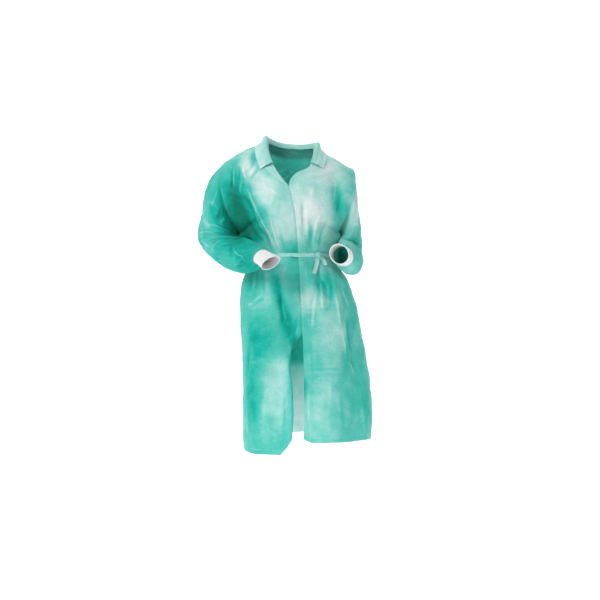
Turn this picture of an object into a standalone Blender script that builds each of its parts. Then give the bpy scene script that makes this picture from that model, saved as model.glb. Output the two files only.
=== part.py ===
"""A worn front-opening surgical gown: knee length, turned-down collar, long sleeves bent at the elbows,
rib-knit cuffs and a narrow waist tie, each piece a thin closed wall of cloth.

Metres, +Z up. The front faces -Y and the wearer's left is +X. The origin is at the base of the neck,
between the shoulder seams, where the wearer carries the gown.
"""
import bmesh
import bpy
import numpy as np
from mathutils import Vector
from mathutils.bvhtree import BVHTree

# Cloth and making
CLOTH = 0.0013            # wall of the gown's cloth
KNIT = 0.0018             # wall of the cuffs between their ribs
BAND = 0.0010             # wall of the edge band and of the tie
GAP = 0.0003              # between pieces that meet at a seam
SEAM_DRAW = 0.00018       # how far each seam edge draws back, so that two make the gap

# Heights on the body
SHOULDER_TOP = 0.020      # height at which both shoulder lines would meet over the neck
UNDERARM = -0.230         # level of the underarms at the body's middle
HEM = -0.970              # level of the hem
WAIST = -0.362            # level of the tie
SEAM_Y = 0.008            # side and shoulder seams lie just behind the middle

# Grid of the panels
SKIRT_ROWS = 22
CHEST_ROWS = 10
FRONT_COLUMNS = 14
NECK_COLUMNS = 8
SLEEVE_RINGS = 15

# The body's form below the underarms, one row for each level. A smaller "square" makes a squarer section
SECTION_COLUMNS = ("z", "right", "left", "middle", "front", "back", "square")
SECTIONS = (
    (-0.970, -0.159, 0.268, 0.050, -0.180, 0.185, 0.90),
    (-0.900, -0.161, 0.271, 0.050, -0.174, 0.180, 0.90),
    (-0.800, -0.161, 0.266, 0.048, -0.165, 0.171, 0.90),
    (-0.700, -0.163, 0.252, 0.042, -0.155, 0.161, 0.88),
    (-0.600, -0.168, 0.232, 0.032, -0.146, 0.150, 0.85),
    (-0.510, -0.170, 0.214, 0.022, -0.139, 0.141, 0.82),
    (-0.440, -0.160, 0.187, 0.014, -0.132, 0.128, 0.80),
    (-0.395, -0.142, 0.156, 0.008, -0.124, 0.110, 0.84),
    (-0.362, -0.135, 0.145, 0.005, -0.119, 0.102, 0.85),
    (-0.325, -0.141, 0.147, 0.003, -0.124, 0.104, 0.78),
    (-0.275, -0.158, 0.155, 0.001, -0.1340, 0.111, 0.74),
    (-0.230, -0.168, 0.162, 0.000, -0.1365, 0.114, 0.76),
)

# Each armhole, from the underarm up over the arm to the shoulder seam's end
ARMHOLES = {
    "right": {"side": -1, "under_x": -0.161, "under_z": -0.283, "tip_x": -0.216, "tip_z": -0.045,
              "bulge": -0.039, "half_depth": 0.083, "slope": 2.6},
    "left": {"side": 1, "under_x": 0.154, "under_z": -0.281, "tip_x": 0.204, "tip_z": -0.070,
             "bulge": 0.026, "half_depth": 0.078, "slope": 1.4},
}
ARMHOLE_ONSET = 1.4       # how softly an armhole widens out of the underarm
BULGE_POWER = 3.0         # how closely that widening keeps to the armhole
DEPTH_ONSET = 1.1         # and how softly its front and back part
SIDE_EASE = (0.86, 1.0)   # levels over which the side seams bend to the underarms
BOW_SIDE = 90.0           # how far round a row of the body has turned at the side seam, in degrees
BOW_SHOULDER = 48.0       # and at the shoulder's end
CHEST_ROUNDING = 2.2      # how squarely the chest turns over to the shoulder seam
BACK_ROUNDING = 2.8
SQUARE_END = 1.6          # level from which the sections are round again
NECK_X = 0.076            # where each shoulder seam ends at the neck
NECK_DIP = 30.0           # how far the neck's back edge dips from the shoulder line, in degrees of turn
NECK_DIP_SHAPE = 0.75     # a smaller number makes that dip flatter in its middle

# The front edges and the neck's V: height, and the edge's X
EDGE_COLUMNS = ("z", "x")
UNDER_EDGE = (
    (-0.970, 0.004), (-0.930, 0.007), (-0.790, 0.006), (-0.700, -0.003), (-0.676, 0.002), (-0.655, 0.018),
    (-0.625, 0.036), (-0.560, 0.048), (-0.460, 0.056), (-0.362, 0.057), (-0.250, 0.050), (-0.190, 0.032),
    (-0.160, 0.014),
    (-0.138, -0.004), (-0.115, -0.024), (-0.092, -0.041), (-0.066, -0.055), (-0.045, -0.0645),
    (-0.012, -0.0735), (0.020, -0.076),
)
OVER_EDGE = (
    (-0.970, 0.041), (-0.930, 0.0435), (-0.800, 0.0435), (-0.713, 0.042), (-0.600, 0.037), (-0.500, 0.032),
    (-0.362, 0.024), (-0.204, 0.0106), (-0.154, 0.000), (-0.131, -0.0055), (-0.112, 0.001),
    (-0.095, 0.014), (-0.080, 0.032), (-0.069, 0.048), (-0.055, 0.060), (-0.035, 0.067), (-0.012, 0.073),
    (0.020, 0.076),
)
OVERLAP_DROP = 0.0065     # the under front lies this far inside the over front
OVERLAP_EASE = 0.050      # and eases down to it over this width
OVERLAP_END = (-0.700, -0.620)

# How far the hem hangs below its level, by place round the skirt (0 is the front's middle, -1 the right side)
HEM_COLUMNS = ("turn", "drop")
HEM_RIGHT = ((-2.0, 0.0), (-1.35, 0.0), (-1.0, 0.010), (-0.93, 0.024), (-0.82, 0.038), (-0.6, 0.042),
             (-0.27, 0.040), (-0.19, 0.014), (-0.13, -0.014), (0.2, -0.014))
HEM_LEFT = ((-0.05, -0.017), (0.0, -0.008), (0.05, 0.0), (1.0, 0.0), (2.0, 0.0))
HEM_FADE = (-0.960, -0.840)

# Folds that cross the front, seen from the front: line from (x0, z0) to (x1, z1), half width, height
FOLD_COLUMNS = ("x0", "z0", "x1", "z1", "width", "height")
FRONT_FOLDS = (
    (-0.054, -0.434, -0.019, -0.571, 0.015, -0.012),   # trough from the waist towards the opening
    (-0.010, -0.560, 0.014, -0.690, 0.026, -0.016),    # its lower, wider end
    (-0.158, -0.190, -0.095, -0.300, 0.028, -0.018),   # hollow beside the right armhole
    (-0.143, -0.150, -0.101, -0.265, 0.011, 0.006),    # ridge from the armhole
    (-0.101, -0.265, -0.044, -0.345, 0.010, 0.006),    # and on to the tie
    (-0.074, -0.240, -0.040, -0.348, 0.010, -0.005),   # second fold inside it
    (0.042, -0.190, 0.043, -0.300, 0.010, -0.005),     # fold beside the over front's edge
    (-0.025, -0.290, -0.012, -0.345, 0.018, -0.006),   # cloth drawn into the tie
    (0.064, -0.255, 0.070, -0.335, 0.014, -0.005),
    (0.088, -0.395, 0.098, -0.462, 0.012, -0.011),     # folds that run down from the knot
    (0.098, -0.462, 0.122, -0.500, 0.011, -0.008),
    (0.131, -0.440, 0.124, -0.520, 0.012, -0.007),
    (0.137, -0.440, 0.153, -0.603, 0.013, 0.006),
    (0.176, -0.470, 0.202, -0.555, 0.014, -0.006),
    (0.190, -0.580, 0.216, -0.770, 0.017, -0.010),     # trough down the wearer's left side
    (0.036, -0.730, 0.043, -0.850, 0.012, -0.011),     # the over front's edge turns in here
    (-0.110, -0.620, -0.100, -0.960, 0.045, 0.013),    # the two broad fronts of the skirt
    (0.115, -0.560, 0.130, -0.960, 0.055, 0.013),
    (-0.045, -0.740, -0.038, -1.000, 0.022, -0.007),   # flutes at the hem
    (0.205, -0.820, 0.225, -0.980, 0.026, -0.009),
    (0.150, -0.105, 0.160, -0.210, 0.022, -0.010),     # hollow beside the left armhole
    (-0.100, -0.060, -0.150, -0.110, 0.012, -0.005),   # crease from the collar's point
)
# Folds that cross the back, like those of the front
BACK_FOLDS = (
    (-0.150, -0.160, -0.090, -0.310, 0.022, -0.011),
    (0.145, -0.150, 0.085, -0.310, 0.022, -0.011),
    (-0.060, -0.200, -0.035, -0.335, 0.014, 0.005),
    (0.020, -0.180, 0.030, -0.335, 0.013, -0.005),
    (0.070, -0.230, 0.060, -0.335, 0.013, 0.005),
    (-0.070, -0.400, -0.095, -0.620, 0.020, -0.010),
    (-0.020, -0.400, -0.025, -0.660, 0.022, 0.009),
    (0.040, -0.400, 0.070, -0.660, 0.020, -0.011),
    (0.095, -0.400, 0.120, -0.640, 0.022, 0.009),
    (-0.075, -0.640, -0.090, -0.980, 0.028, 0.014),
    (-0.030, -0.700, -0.035, -0.980, 0.026, -0.013),
    (0.030, -0.680, 0.045, -0.980, 0.030, 0.014),
    (0.100, -0.720, 0.125, -0.980, 0.028, -0.014),
    (0.165, -0.650, 0.200, -0.980, 0.028, 0.010),
)
FOLD_FACE = (0.10, 0.45)  # folds of one face fade out before the side seams
FOLD_TOP = (1.70, 1.95)   # and before the shoulder seams

# Gathers above and below the tie
GATHERS = 16
GATHER_HEIGHT = 0.0050
GATHER_WIDTH = 0.075      # in quarter turns round the waist
GATHER_REACH = 0.075      # how far they run from the tie
GATHER_CALM = 0.014       # the cloth lies smooth under the tie
GATHER_SHIFT = 0.28       # how unevenly they are spaced, as a share of their spacing
GATHER_VARY = 0.25        # how unevenly high they are

# Sleeve rings from the shoulder to the cuff: the inner and the outer end of each ring, the reach to its
# front or outer side, how far its sides lead its ends along the arm, and how far they stand out in X
RING_COLUMNS = ("inner_x", "inner_y", "inner_z", "outer_x", "outer_y", "outer_z", "depth_x", "depth_y",
                "lead", "spread")
SLEEVE_TABLES = {
    "right": (
        (-0.176, -0.007, -0.291, -0.250, 0.012, -0.076, 0.000, -0.083, 0.023, -0.014),
        (-0.177, -0.022, -0.295, -0.280, 0.022, -0.119, -0.006, -0.079, 0.020, -0.011),
        (-0.177, -0.038, -0.297, -0.293, 0.033, -0.172, -0.013, -0.073, 0.016, -0.007),
        (-0.175, -0.054, -0.299, -0.303, 0.046, -0.226, -0.021, -0.066, 0.011, -0.003),
        (-0.173, -0.070, -0.300, -0.308, 0.057, -0.276, -0.029, -0.058, 0.006, 0.000),
        (-0.171, -0.086, -0.301, -0.300, 0.055, -0.317, -0.035, -0.050, 0.002, 0.000),
        (-0.162, -0.102, -0.303, -0.270, 0.022, -0.354, -0.038, -0.042, 0.000, 0.000),
        (-0.150, -0.119, -0.307, -0.232, -0.020, -0.389, -0.039, -0.035, 0.000, 0.000),
        (-0.133, -0.140, -0.316, -0.190, -0.075, -0.413, -0.040, -0.031, 0.000, 0.000),
        (-0.115, -0.165, -0.326, -0.150, -0.130, -0.422, -0.040, -0.029, 0.000, 0.000),
        (-0.099, -0.185, -0.335, -0.123, -0.164, -0.413, -0.036, -0.025, 0.000, 0.000),
        (-0.0860, -0.1992, -0.3475, -0.1050, -0.1893, -0.3915, -0.0213, -0.0149, 0.000, 0.000),
    ),
    "left": (
        (0.165, 0.002, -0.284, 0.212, 0.014, -0.100, 0.002, -0.075, 0.014, 0.017),
        (0.167, -0.015, -0.290, 0.216, 0.022, -0.140, 0.006, -0.068, 0.012, 0.014),
        (0.168, -0.033, -0.295, 0.219, 0.032, -0.190, 0.012, -0.060, 0.009, 0.010),
        (0.169, -0.050, -0.300, 0.222, 0.044, -0.250, 0.020, -0.050, 0.005, 0.006),
        (0.170, -0.068, -0.305, 0.225, 0.056, -0.312, 0.027, -0.039, 0.002, 0.002),
        (0.170, -0.085, -0.309, 0.225, 0.058, -0.365, 0.031, -0.027, 0.000, 0.000),
        (0.173, -0.101, -0.314, 0.221, 0.030, -0.406, 0.034, -0.016, 0.000, 0.000),
        (0.180, -0.115, -0.320, 0.210, -0.025, -0.424, 0.036, -0.010, 0.000, 0.000),
        (0.181, -0.131, -0.325, 0.197, -0.086, -0.425, 0.037, -0.008, 0.000, 0.000),
        (0.174, -0.157, -0.328, 0.184, -0.137, -0.416, 0.038, -0.008, 0.000, 0.000),
        (0.166, -0.181, -0.3355, 0.1712, -0.1772, -0.4000, 0.0318, -0.0068, 0.000, 0.000),
    ),
}
# Folds of each sleeve, from (along, turn) to (along, turn): along runs from 0 at the armhole to 1 at the
# cuff, turn in degrees from the ring's outer end (0) by its front or outer side (90) to its inner end (180)
SLEEVE_FOLD_COLUMNS = ("x0", "z0", "x1", "z1", "width", "height")
SLEEVE_FOLDS = {
    "right": (
        (0.14, 110.0, 0.30, 60.0, 0.014, 0.004),
        (0.20, 50.0, 0.34, 15.0, 0.014, -0.005),
        (0.36, 165.0, 0.40, 50.0, 0.013, -0.006),
        (0.48, 170.0, 0.53, 50.0, 0.013, -0.006),
        (0.63, 160.0, 0.70, 30.0, 0.011, -0.005),
        (0.80, 150.0, 0.86, 40.0, 0.010, 0.003),
        (0.20, 240.0, 0.34, 320.0, 0.016, -0.006),
        (0.44, 200.0, 0.42, 310.0, 0.014, -0.006),
        (0.62, 210.0, 0.58, 310.0, 0.013, -0.005),
    ),
    "left": (
        (0.16, 70.0, 0.34, 110.0, 0.014, 0.004),
        (0.30, 60.0, 0.44, 120.0, 0.013, -0.005),
        (0.51, 190.0, 0.53, 90.0, 0.010, -0.007),
        (0.62, 175.0, 0.62, 60.0, 0.013, 0.004),
        (0.74, 170.0, 0.80, 60.0, 0.011, -0.004),
        (0.50, 215.0, 0.44, 310.0, 0.014, -0.005),
        (0.66, 210.0, 0.60, 310.0, 0.013, -0.005),
    ),
}
SLEEVE_LENGTH = 0.52      # metres that "along" spans in these tables
SLEEVE_RADIUS = 0.055     # and metres for each radian of turn

# Cuffs: the open end's ring, in the columns of the sleeve's rings
CUFF_TABLES = {
    "right": (-0.0455, -0.2500, -0.3700, -0.0800, -0.2370, -0.4130, -0.0235, -0.0161, 0.0, 0.0),
    "left": (0.1510, -0.2380, -0.3310, 0.1580, -0.2340, -0.3950, 0.0303, -0.0065, 0.0, 0.0),
}
CUFF_RIBS = 40
CUFF_RIB_HEIGHT = 0.0008
CUFF_STEPS = 2

# Collar
COLLAR_NOTCH = -0.062     # height of the collar's front ends
COLLAR_STAND = 0.026      # height of the stand at the back
COLLAR_END = 0.30         # the stand's height at the notches, as a share of that
COLLAR_RISE = 0.28        # share of its length over which the stand reaches its full height
COLLAR_FALL = 0.044       # width of the leaf
COLLAR_CLEAR = 0.0004     # between the stand's foot and the neck's edge
COLLAR_SINK = 0.8         # share of the cloth's wall that the stand's foot reaches down
# The roll, as distance into the panel and share of the stand's height, and the leaf, as share of its
# width and height over the panels
COLLAR_ROLL = ((0.0, 0.0), (-0.0010, 0.45), (0.0015, 0.85), (0.0065, 1.0), (0.0125, 0.86))
COLLAR_LEAF = ((0.50, 0.0095), (0.76, 0.0055), (1.0, 0.0032))

# Turned-back band on the under front's edge: how far down, and its width at each height
BAND_COLUMNS = ("z", "width")
EDGE_BAND = ((-0.134, 0.006), (-0.118, 0.014), (-0.100, 0.022), (-0.085, 0.027), (-0.070, 0.030))
BAND_STEPS = 2
BAND_INSET = 0.0008
BAND_LIFT = 0.0008

# Waist tie
TIE_WIDTH = 0.012
TIE_LIFT = 0.0010
TIE_LEVELS = 9            # heights at which the tie feels the cloth below it
TIE_STEP = 0.0015         # the shortest step round the tie
KNOT_X = 0.088
KNOT_SIZE = (0.020, 0.009, 0.017)
KNOT_ROUND = 0.0028
# The free ends' routes on the front, as (x, z), and how far in front of the cloth they hang
TIE_ENDS = {
    "tie_end_shown": {"route": ((0.0880, -0.3717), (0.0865, -0.3850), (0.0815, -0.4040), (0.0745, -0.4230)),
                      "lift": 0.004},
    "tie_end_hidden": {"route": ((0.0974, -0.3699), (0.1070, -0.3795), (0.1140, -0.3950)), "lift": 0.005},
}

# Colours and finish: base colour, roughness
GREEN = ((0.12, 0.60, 0.50, 1.0), 0.62)
PALE_GREEN = ((0.34, 0.74, 0.64, 1.0), 0.62)
WHITE = ((0.86, 0.87, 0.88, 1.0), 0.85)


def named(table, columns):
    """A table's columns by name."""
    return {name: np.array([row[i] for row in table]) for i, name in enumerate(columns)}


def unit(vectors):
    """The same directions at length 1."""
    return vectors / np.linalg.norm(vectors, axis=-1, keepdims=True)


def ease(start, end, value):
    """0 before start, 1 after end, and a soft step between them."""
    t = np.clip((np.asarray(value, float) - start) / (end - start), 0.0, 1.0)
    return t * t * (3.0 - 2.0 * t)


def curve(keys, values, at):
    """A smooth curve through the values, read at any place along the keys."""
    slopes = np.gradient(values, keys)
    at = np.clip(at, keys[0], keys[-1])
    i = np.clip(np.searchsorted(keys, at) - 1, 0, len(keys) - 2)
    span = keys[i + 1] - keys[i]
    t = (at - keys[i]) / span
    a = (1 + 2 * t) * (1 - t) ** 2 * values[i] + t * (1 - t) ** 2 * span * slopes[i]
    b = t * t * (3 - 2 * t) * values[i + 1] + t * t * (t - 1) * span * slopes[i + 1]
    return a + b


# Which way the normals of each grid turn, where it is not the first way
OUTWARD = {"front_right": -1.0, "back": -1.0, "sleeve_right": -1.0}
SECTION = named(SECTIONS, SECTION_COLUMNS)
UNDER = named(UNDER_EDGE, EDGE_COLUMNS)
OVER = named(OVER_EDGE, EDGE_COLUMNS)


def body_row(level, side):
    """The form of one row on one side: level 0 is the hem, 1 the underarm, 2 the shoulder seam."""
    hole = ARMHOLES["right" if side < 0 else "left"]
    level = np.asarray(level, float)
    low = HEM + (UNDERARM - HEM) * np.clip(level, 0.0, 1.0)
    turn = np.pi * np.clip(level - 1.0, 0.0, 1.0)
    up = (1.0 - np.cos(turn)) / 2.0
    chest = curve(SECTION["z"], SECTION["front"], low) - SEAM_Y
    back = curve(SECTION["z"], SECTION["back"], low) - SEAM_Y
    skirt_x = curve(SECTION["z"], SECTION["right" if side < 0 else "left"], low)
    armhole_x = hole["under_x"] + (hole["tip_x"] - hole["under_x"]) * up
    square = curve(SECTION["z"], SECTION["square"], low)
    near = ease(SIDE_EASE[0], SIDE_EASE[1], level)
    outer_x = np.where(level > 1.0, armhole_x, skirt_x + (hole["under_x"] - skirt_x) * near)
    outer_z = np.where(level > 1.0, hole["under_z"] + (hole["tip_z"] - hole["under_z"]) * up,
                       low + (hole["under_z"] - UNDERARM) * near)
    return {
        "middle_z": low + (SHOULDER_TOP - UNDERARM) * up,
        "middle_x": curve(SECTION["z"], SECTION["middle"], low),
        "front": chest * (1.0 - up ** CHEST_ROUNDING) ** (1.0 / CHEST_ROUNDING),
        "back": back * (1.0 - up ** BACK_ROUNDING) ** (1.0 / BACK_ROUNDING),
        "outer_x": outer_x,
        "bulge": hole["bulge"] * np.sin(turn) ** ARMHOLE_ONSET,
        "outer_z": outer_z,
        "outer_depth": hole["half_depth"] * np.sin(turn) ** DEPTH_ONSET,
        "bow": np.radians(BOW_SIDE + (BOW_SHOULDER - BOW_SIDE) * up),
        "slope": hole["slope"],
        "square": square + (1.0 - square) * ease(1.0, SQUARE_END, level),
    }


def row_point(row, share, face):
    """Points of a row on one side, at any share of the way from the body's middle to its outer seam."""
    bow = row["bow"] * share
    across = np.sin(bow) / np.sin(row["bow"])
    end = np.maximum(np.cos(row["bow"]), 0.0) ** row["square"]
    turned = (1.0 - np.maximum(np.cos(bow), 0.0) ** row["square"]) / (1.0 - end)
    middle = row["front"] if face < 0 else row["back"]
    outer = face * row["outer_depth"]
    reach = np.abs(across)
    x = row["middle_x"] + (row["outer_x"] - row["middle_x"]) * across + row["bulge"] * reach ** BULGE_POWER
    y = SEAM_Y + middle + (outer - middle) * turned
    z = row["middle_z"] + (row["outer_z"] - row["middle_z"]) * reach ** row["slope"] * (share >= 0.0)
    return np.stack((x, y, z), axis=-1)


def body_point(level, share, face, side):
    """Points of the body. share runs from -1 at the right seam to 1 at the left, face is -1 in front.

    side, -1 or 1, is the side whose form each point keeps, also where an edge passes the middle.
    """
    level, share, side = np.broadcast_arrays(level, share, side)
    right = row_point(body_row(level, -1), -share, face)
    left = row_point(body_row(level, 1), share, face)
    return np.where((side < 0)[..., None], right, left)


def share_at(level, x, side):
    """Where a row of the body meets a given X, on the wearer's right (side -1) or left."""
    row = body_row(level, side)
    across = (x - row["middle_x"]) / np.abs(row["outer_x"] - row["middle_x"])
    sine = np.clip(np.abs(across) * np.sin(row["bow"]), 0.0, 0.999)
    return np.sign(across) * np.arcsin(sine) / row["bow"]


def body_levels():
    """The levels of the panels' rows, from the hem to the shoulder seam."""
    skirt = np.linspace(0.0, 1.0, SKIRT_ROWS + 1)
    return np.concatenate((skirt, 1.0 + np.arange(1, CHEST_ROWS + 1) / CHEST_ROWS))


def shoulder_share(side):
    """Where the shoulder seam ends at the neck."""
    return float(share_at(2.0, side * NECK_X, side))


def front_shares(side):
    """Shares of a front's columns on each row, from its edge to its outer seam."""
    levels = body_levels()
    edge = UNDER if side < 0 else OVER
    heights = body_row(levels, side)["middle_z"]
    shares = share_at(levels, curve(edge["z"], edge["x"], heights), side)
    shares[-1] = shoulder_share(side)
    steps = np.linspace(0.0, 1.0, FRONT_COLUMNS + 1)
    return shares[:, None] + (side - shares[:, None]) * steps


def back_shares():
    """Shares of the back's columns: the outer ones match the fronts' along the shoulder seams."""
    steps = np.linspace(0.0, 1.0, FRONT_COLUMNS + 1)
    right, left = shoulder_share(-1), shoulder_share(1)
    middle = np.linspace(right, left, NECK_COLUMNS + 1)[1:-1]
    return np.concatenate((-1.0 + (right + 1.0) * steps, middle, (1.0 + (left - 1.0) * steps)[::-1]))


def back_levels(shares):
    """Levels of the back's rows, which dip to the neck's back edge between the shoulder seams."""
    levels = body_levels()[:, None]
    limit = np.where(shares < 0.0, shoulder_share(-1), shoulder_share(1))
    inside = np.clip(1.0 - (shares / limit) ** 2, 0.0, 1.0)
    dip = NECK_DIP / 180.0 * inside ** NECK_DIP_SHAPE
    return np.where(levels > 1.0, 1.0 + (levels - 1.0) * (1.0 - dip), levels)


def hem_drop(share, face, side, z):
    """How far a point hangs below its level, near the hem."""
    table = named(HEM_RIGHT if side < 0 else HEM_LEFT, HEM_COLUMNS)
    turn = share if face < 0 else np.sign(share) * (2.0 - np.abs(share))
    drop = np.interp(turn, table["turn"], table["drop"])
    return drop * (1.0 - ease(HEM_FADE[0], HEM_FADE[1], z))


def line_distance(x, z, fold):
    """How far each point is from a fold's line."""
    dx, dz = fold["x1"] - fold["x0"], fold["z1"] - fold["z0"]
    along = ((x - fold["x0"]) * dx + (z - fold["z0"]) * dz) / (dx * dx + dz * dz)
    along = np.clip(along, 0.0, 1.0)
    return np.hypot(x - fold["x0"] - along * dx, z - fold["z0"] - along * dz)


def folds_height(x, z, table, columns):
    """The height that a table of folds adds at each place."""
    total = np.zeros(np.broadcast(x, z).shape)
    for row in table:
        fold = dict(zip(columns, row))
        total += fold["height"] * np.exp(-(line_distance(x, z, fold) / fold["width"]) ** 2)
    return total


def gathers_height(points, share, face):
    """Uneven gathers round the waist, calm under the tie itself."""
    turn = share if face < 0 else np.sign(share) * (2.0 - np.abs(share))
    off = np.abs(points[..., 2] - WAIST)
    reach = ease(GATHER_CALM, 2.0 * GATHER_CALM, off) * (1.0 - ease(GATHER_REACH / 3.0, GATHER_REACH, off))
    total = np.zeros(off.shape)
    for k in range(GATHERS):
        place = -2.0 + 4.0 * (k + 0.5 + GATHER_SHIFT * np.sin(2.4 * k)) / GATHERS
        away = np.abs(turn - place)
        away = np.minimum(away, 4.0 - away)
        height = GATHER_HEIGHT * (1.0 - GATHER_VARY * (1.0 - np.sin(1.7 * k)))
        total += height * np.exp(-(away / GATHER_WIDTH) ** 2)
    return total * reach


def relief(points, level, share, face):
    """The height of all folds and gathers of the body at each point."""
    table = FRONT_FOLDS if face < 0 else BACK_FOLDS
    inside = ease(FOLD_FACE[0], FOLD_FACE[1], np.cos(np.abs(share) * np.pi / 2.0))
    inside = inside * (1.0 - ease(FOLD_TOP[0], FOLD_TOP[1], level))
    calm = ease(0.004, GATHER_CALM, np.abs(points[..., 2] - WAIST))
    folds = folds_height(points[..., 0], points[..., 2], table, FOLD_COLUMNS)
    return folds * inside * calm + gathers_height(points, share, face)


def overlap_drop(points):
    """How far inside the over front the under front lies."""
    edge = curve(OVER["z"], OVER["x"], points[..., 2])
    near = ease(-OVERLAP_EASE, -0.006, points[..., 0] - edge)
    return OVERLAP_DROP * near * ease(OVERLAP_END[0], OVERLAP_END[1], points[..., 2])


def grid_normals(grids):
    """Normals at each grid's points, shared where grids meet, so that walls meet in a mitre."""
    sums = {}
    keys = {}
    for name, (grid, closed) in grids.items():
        outward = OUTWARD.get(name, 1.0)
        wide = np.concatenate((grid, grid[:, :1]), axis=1) if closed else grid
        a, b = wide[:-1, :-1], wide[:-1, 1:]
        c, d = wide[1:, 1:], wide[1:, :-1]
        faces = outward * np.cross(c - a, d - b)
        total = np.zeros(wide.shape)
        total[:-1, :-1] += faces
        total[:-1, 1:] += faces
        total[1:, 1:] += faces
        total[1:, :-1] += faces
        if closed:
            total[:, 0] += total[:, -1]
            total = total[:, :-1]
        keys[name] = [[tuple(np.round(point * 20000.0).astype(int)) for point in row] for row in grid]
        for r, row in enumerate(keys[name]):
            for c_, key in enumerate(row):
                sums[key] = sums.get(key, 0.0) + total[r, c_]
    normals = {}
    for name, rows in keys.items():
        field = np.array([[sums[key] for key in row] for row in rows])
        normals[name] = field / np.maximum(np.linalg.norm(field, axis=-1, keepdims=True), 1e-12)
    return normals


def draw_in(grid, closed, sides):
    """Draw the named borders of a grid back by half a seam's gap."""
    drawn = grid.copy()
    pairs = {"bottom": (0, 1), "top": (-1, -2)}
    for name, (edge, inner) in pairs.items():
        if name in sides:
            step = grid[inner] - grid[edge]
            drawn[edge] += SEAM_DRAW * step / np.linalg.norm(step, axis=-1, keepdims=True)
    if not closed:
        for name, (edge, inner) in {"first": (0, 1), "last": (-1, -2)}.items():
            if name in sides:
                step = drawn[:, inner] - drawn[:, edge]
                drawn[:, edge] += SEAM_DRAW * step / np.linalg.norm(step, axis=-1, keepdims=True)
    return drawn


def add_material(obj, finish):
    """Give a piece its own Principled material."""
    colour, roughness = finish
    material = bpy.data.materials.new(obj.name + "_cloth")
    material.use_nodes = True
    shader = material.node_tree.nodes["Principled BSDF"]
    shader.inputs["Base Color"].default_value = colour
    shader.inputs["Roughness"].default_value = roughness
    shader.inputs["Metallic"].default_value = 0.0
    obj.data.materials.append(material)


def finish_piece(name, bm, finish):
    """Turn a closed bmesh into a named, smooth-shaded object with its material."""
    if bm.calc_volume(signed=True) < 0.0:
        bmesh.ops.reverse_faces(bm, faces=bm.faces)
    mesh = bpy.data.meshes.new(name)
    bm.to_mesh(mesh)
    bm.free()
    mesh.shade_smooth()
    obj = bpy.data.objects.new(name, mesh)
    bpy.context.scene.collection.objects.link(obj)
    add_material(obj, finish)
    return obj


def make_wall(name, outer, inner, closed, finish):
    """A closed wall between an outer and an inner grid of points."""
    bm = bmesh.new()
    skins = [[[bm.verts.new(point) for point in row] for row in grid] for grid in (outer, inner)]
    rows, columns = outer.shape[:2]
    spans = range(columns if closed else columns - 1)
    for r in range(rows - 1):
        for c in spans:
            d = (c + 1) % columns
            for skin in skins:
                bm.faces.new((skin[r][c], skin[r][d], skin[r + 1][d], skin[r + 1][c]))
    border = [[(0, c) for c in range(columns)], [(rows - 1, c) for c in range(columns)]]
    if closed:
        border = [line + [line[0]] for line in border]
    else:
        border += [[(r, 0) for r in range(rows)], [(r, columns - 1) for r in range(rows)]]
    for line in border:
        for (r0, c0), (r1, c1) in zip(line, line[1:]):
            bm.faces.new((skins[0][r0][c0], skins[0][r1][c1], skins[1][r1][c1], skins[1][r0][c0]))
    bmesh.ops.recalc_face_normals(bm, faces=bm.faces)
    bmesh.ops.triangulate(bm, faces=bm.faces)
    return finish_piece(name, bm, finish)


def torso_grids():
    """The three panels of the body as grids of points, with their folds."""
    levels = body_levels()[:, None]
    spans = {}
    for name, side in (("front_right", -1), ("front_left", 1)):
        spans[name] = (levels, front_shares(side), -1, side)
    shares = back_shares()[None, :]
    spans["back"] = (back_levels(shares), shares, 1, 0)
    plain = {}
    for name, (level, share, face, side) in spans.items():
        own = side * np.ones(share.shape) if side else np.where(share < 0.0, -1.0, 1.0)
        points = body_point(level, share, face, own)
        drops = [hem_drop(share, face, half, points[..., 2]) for half in (-1, 1)]
        points[..., 2] -= np.where(own < 0, drops[0], drops[1])
        plain[name] = (points, False)
    normals = grid_normals(plain)
    folded = {}
    for name, (level, share, face, side) in spans.items():
        points = plain[name][0]
        height = relief(points, level, share, face)
        if name == "front_right":
            height = height - overlap_drop(points)
        folded[name] = (points + normals[name] * height[..., None], False)
    return folded


def ring_points(rings, angles):
    """Points of each ring: angle 0 is its outer end, a quarter turn on its front or outer side."""
    inner = np.stack((rings["inner_x"], rings["inner_y"], rings["inner_z"]), axis=-1)
    outer = np.stack((rings["outer_x"], rings["outer_y"], rings["outer_z"]), axis=-1)
    centre = (inner + outer) / 2.0
    half = (outer - inner) / 2.0
    depth = np.stack((rings["depth_x"], rings["depth_y"], np.zeros(len(half))), axis=-1)
    lead = unit(np.gradient(centre, axis=0)) * rings["lead"][:, None]
    lead[:, 0] += rings["spread"]
    turn = angles[None, :, None]
    return (centre[:, None] + half[:, None] * np.cos(turn) + depth[:, None] * np.sin(turn)
            + lead[:, None] * np.sin(turn) ** 2)


def sleeve_grid(name, torso):
    """One sleeve: its first ring is the armhole's edge, then the table's rings, smoothed along the arm."""
    side = ARMHOLES[name]["side"]
    front = torso["front_" + name][0][SKIRT_ROWS:, -1]
    back = torso["back"][0][SKIRT_ROWS:, 0 if side < 0 else -1]
    armhole = np.concatenate((front[::-1], back[1:-1]))
    count = len(armhole)
    angles = np.arange(count) * 2.0 * np.pi / count
    rings = ring_points(named(SLEEVE_TABLES[name], RING_COLUMNS), angles)
    control = np.concatenate((armhole[None], rings))
    keys = np.arange(len(control), dtype=float)
    at = np.linspace(0.0, keys[-1], SLEEVE_RINGS)
    grid = np.empty((SLEEVE_RINGS, count, 3))
    for c in range(count):
        for axis in range(3):
            grid[:, c, axis] = curve(keys, control[:, c, axis], at)
    return grid, angles


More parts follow.
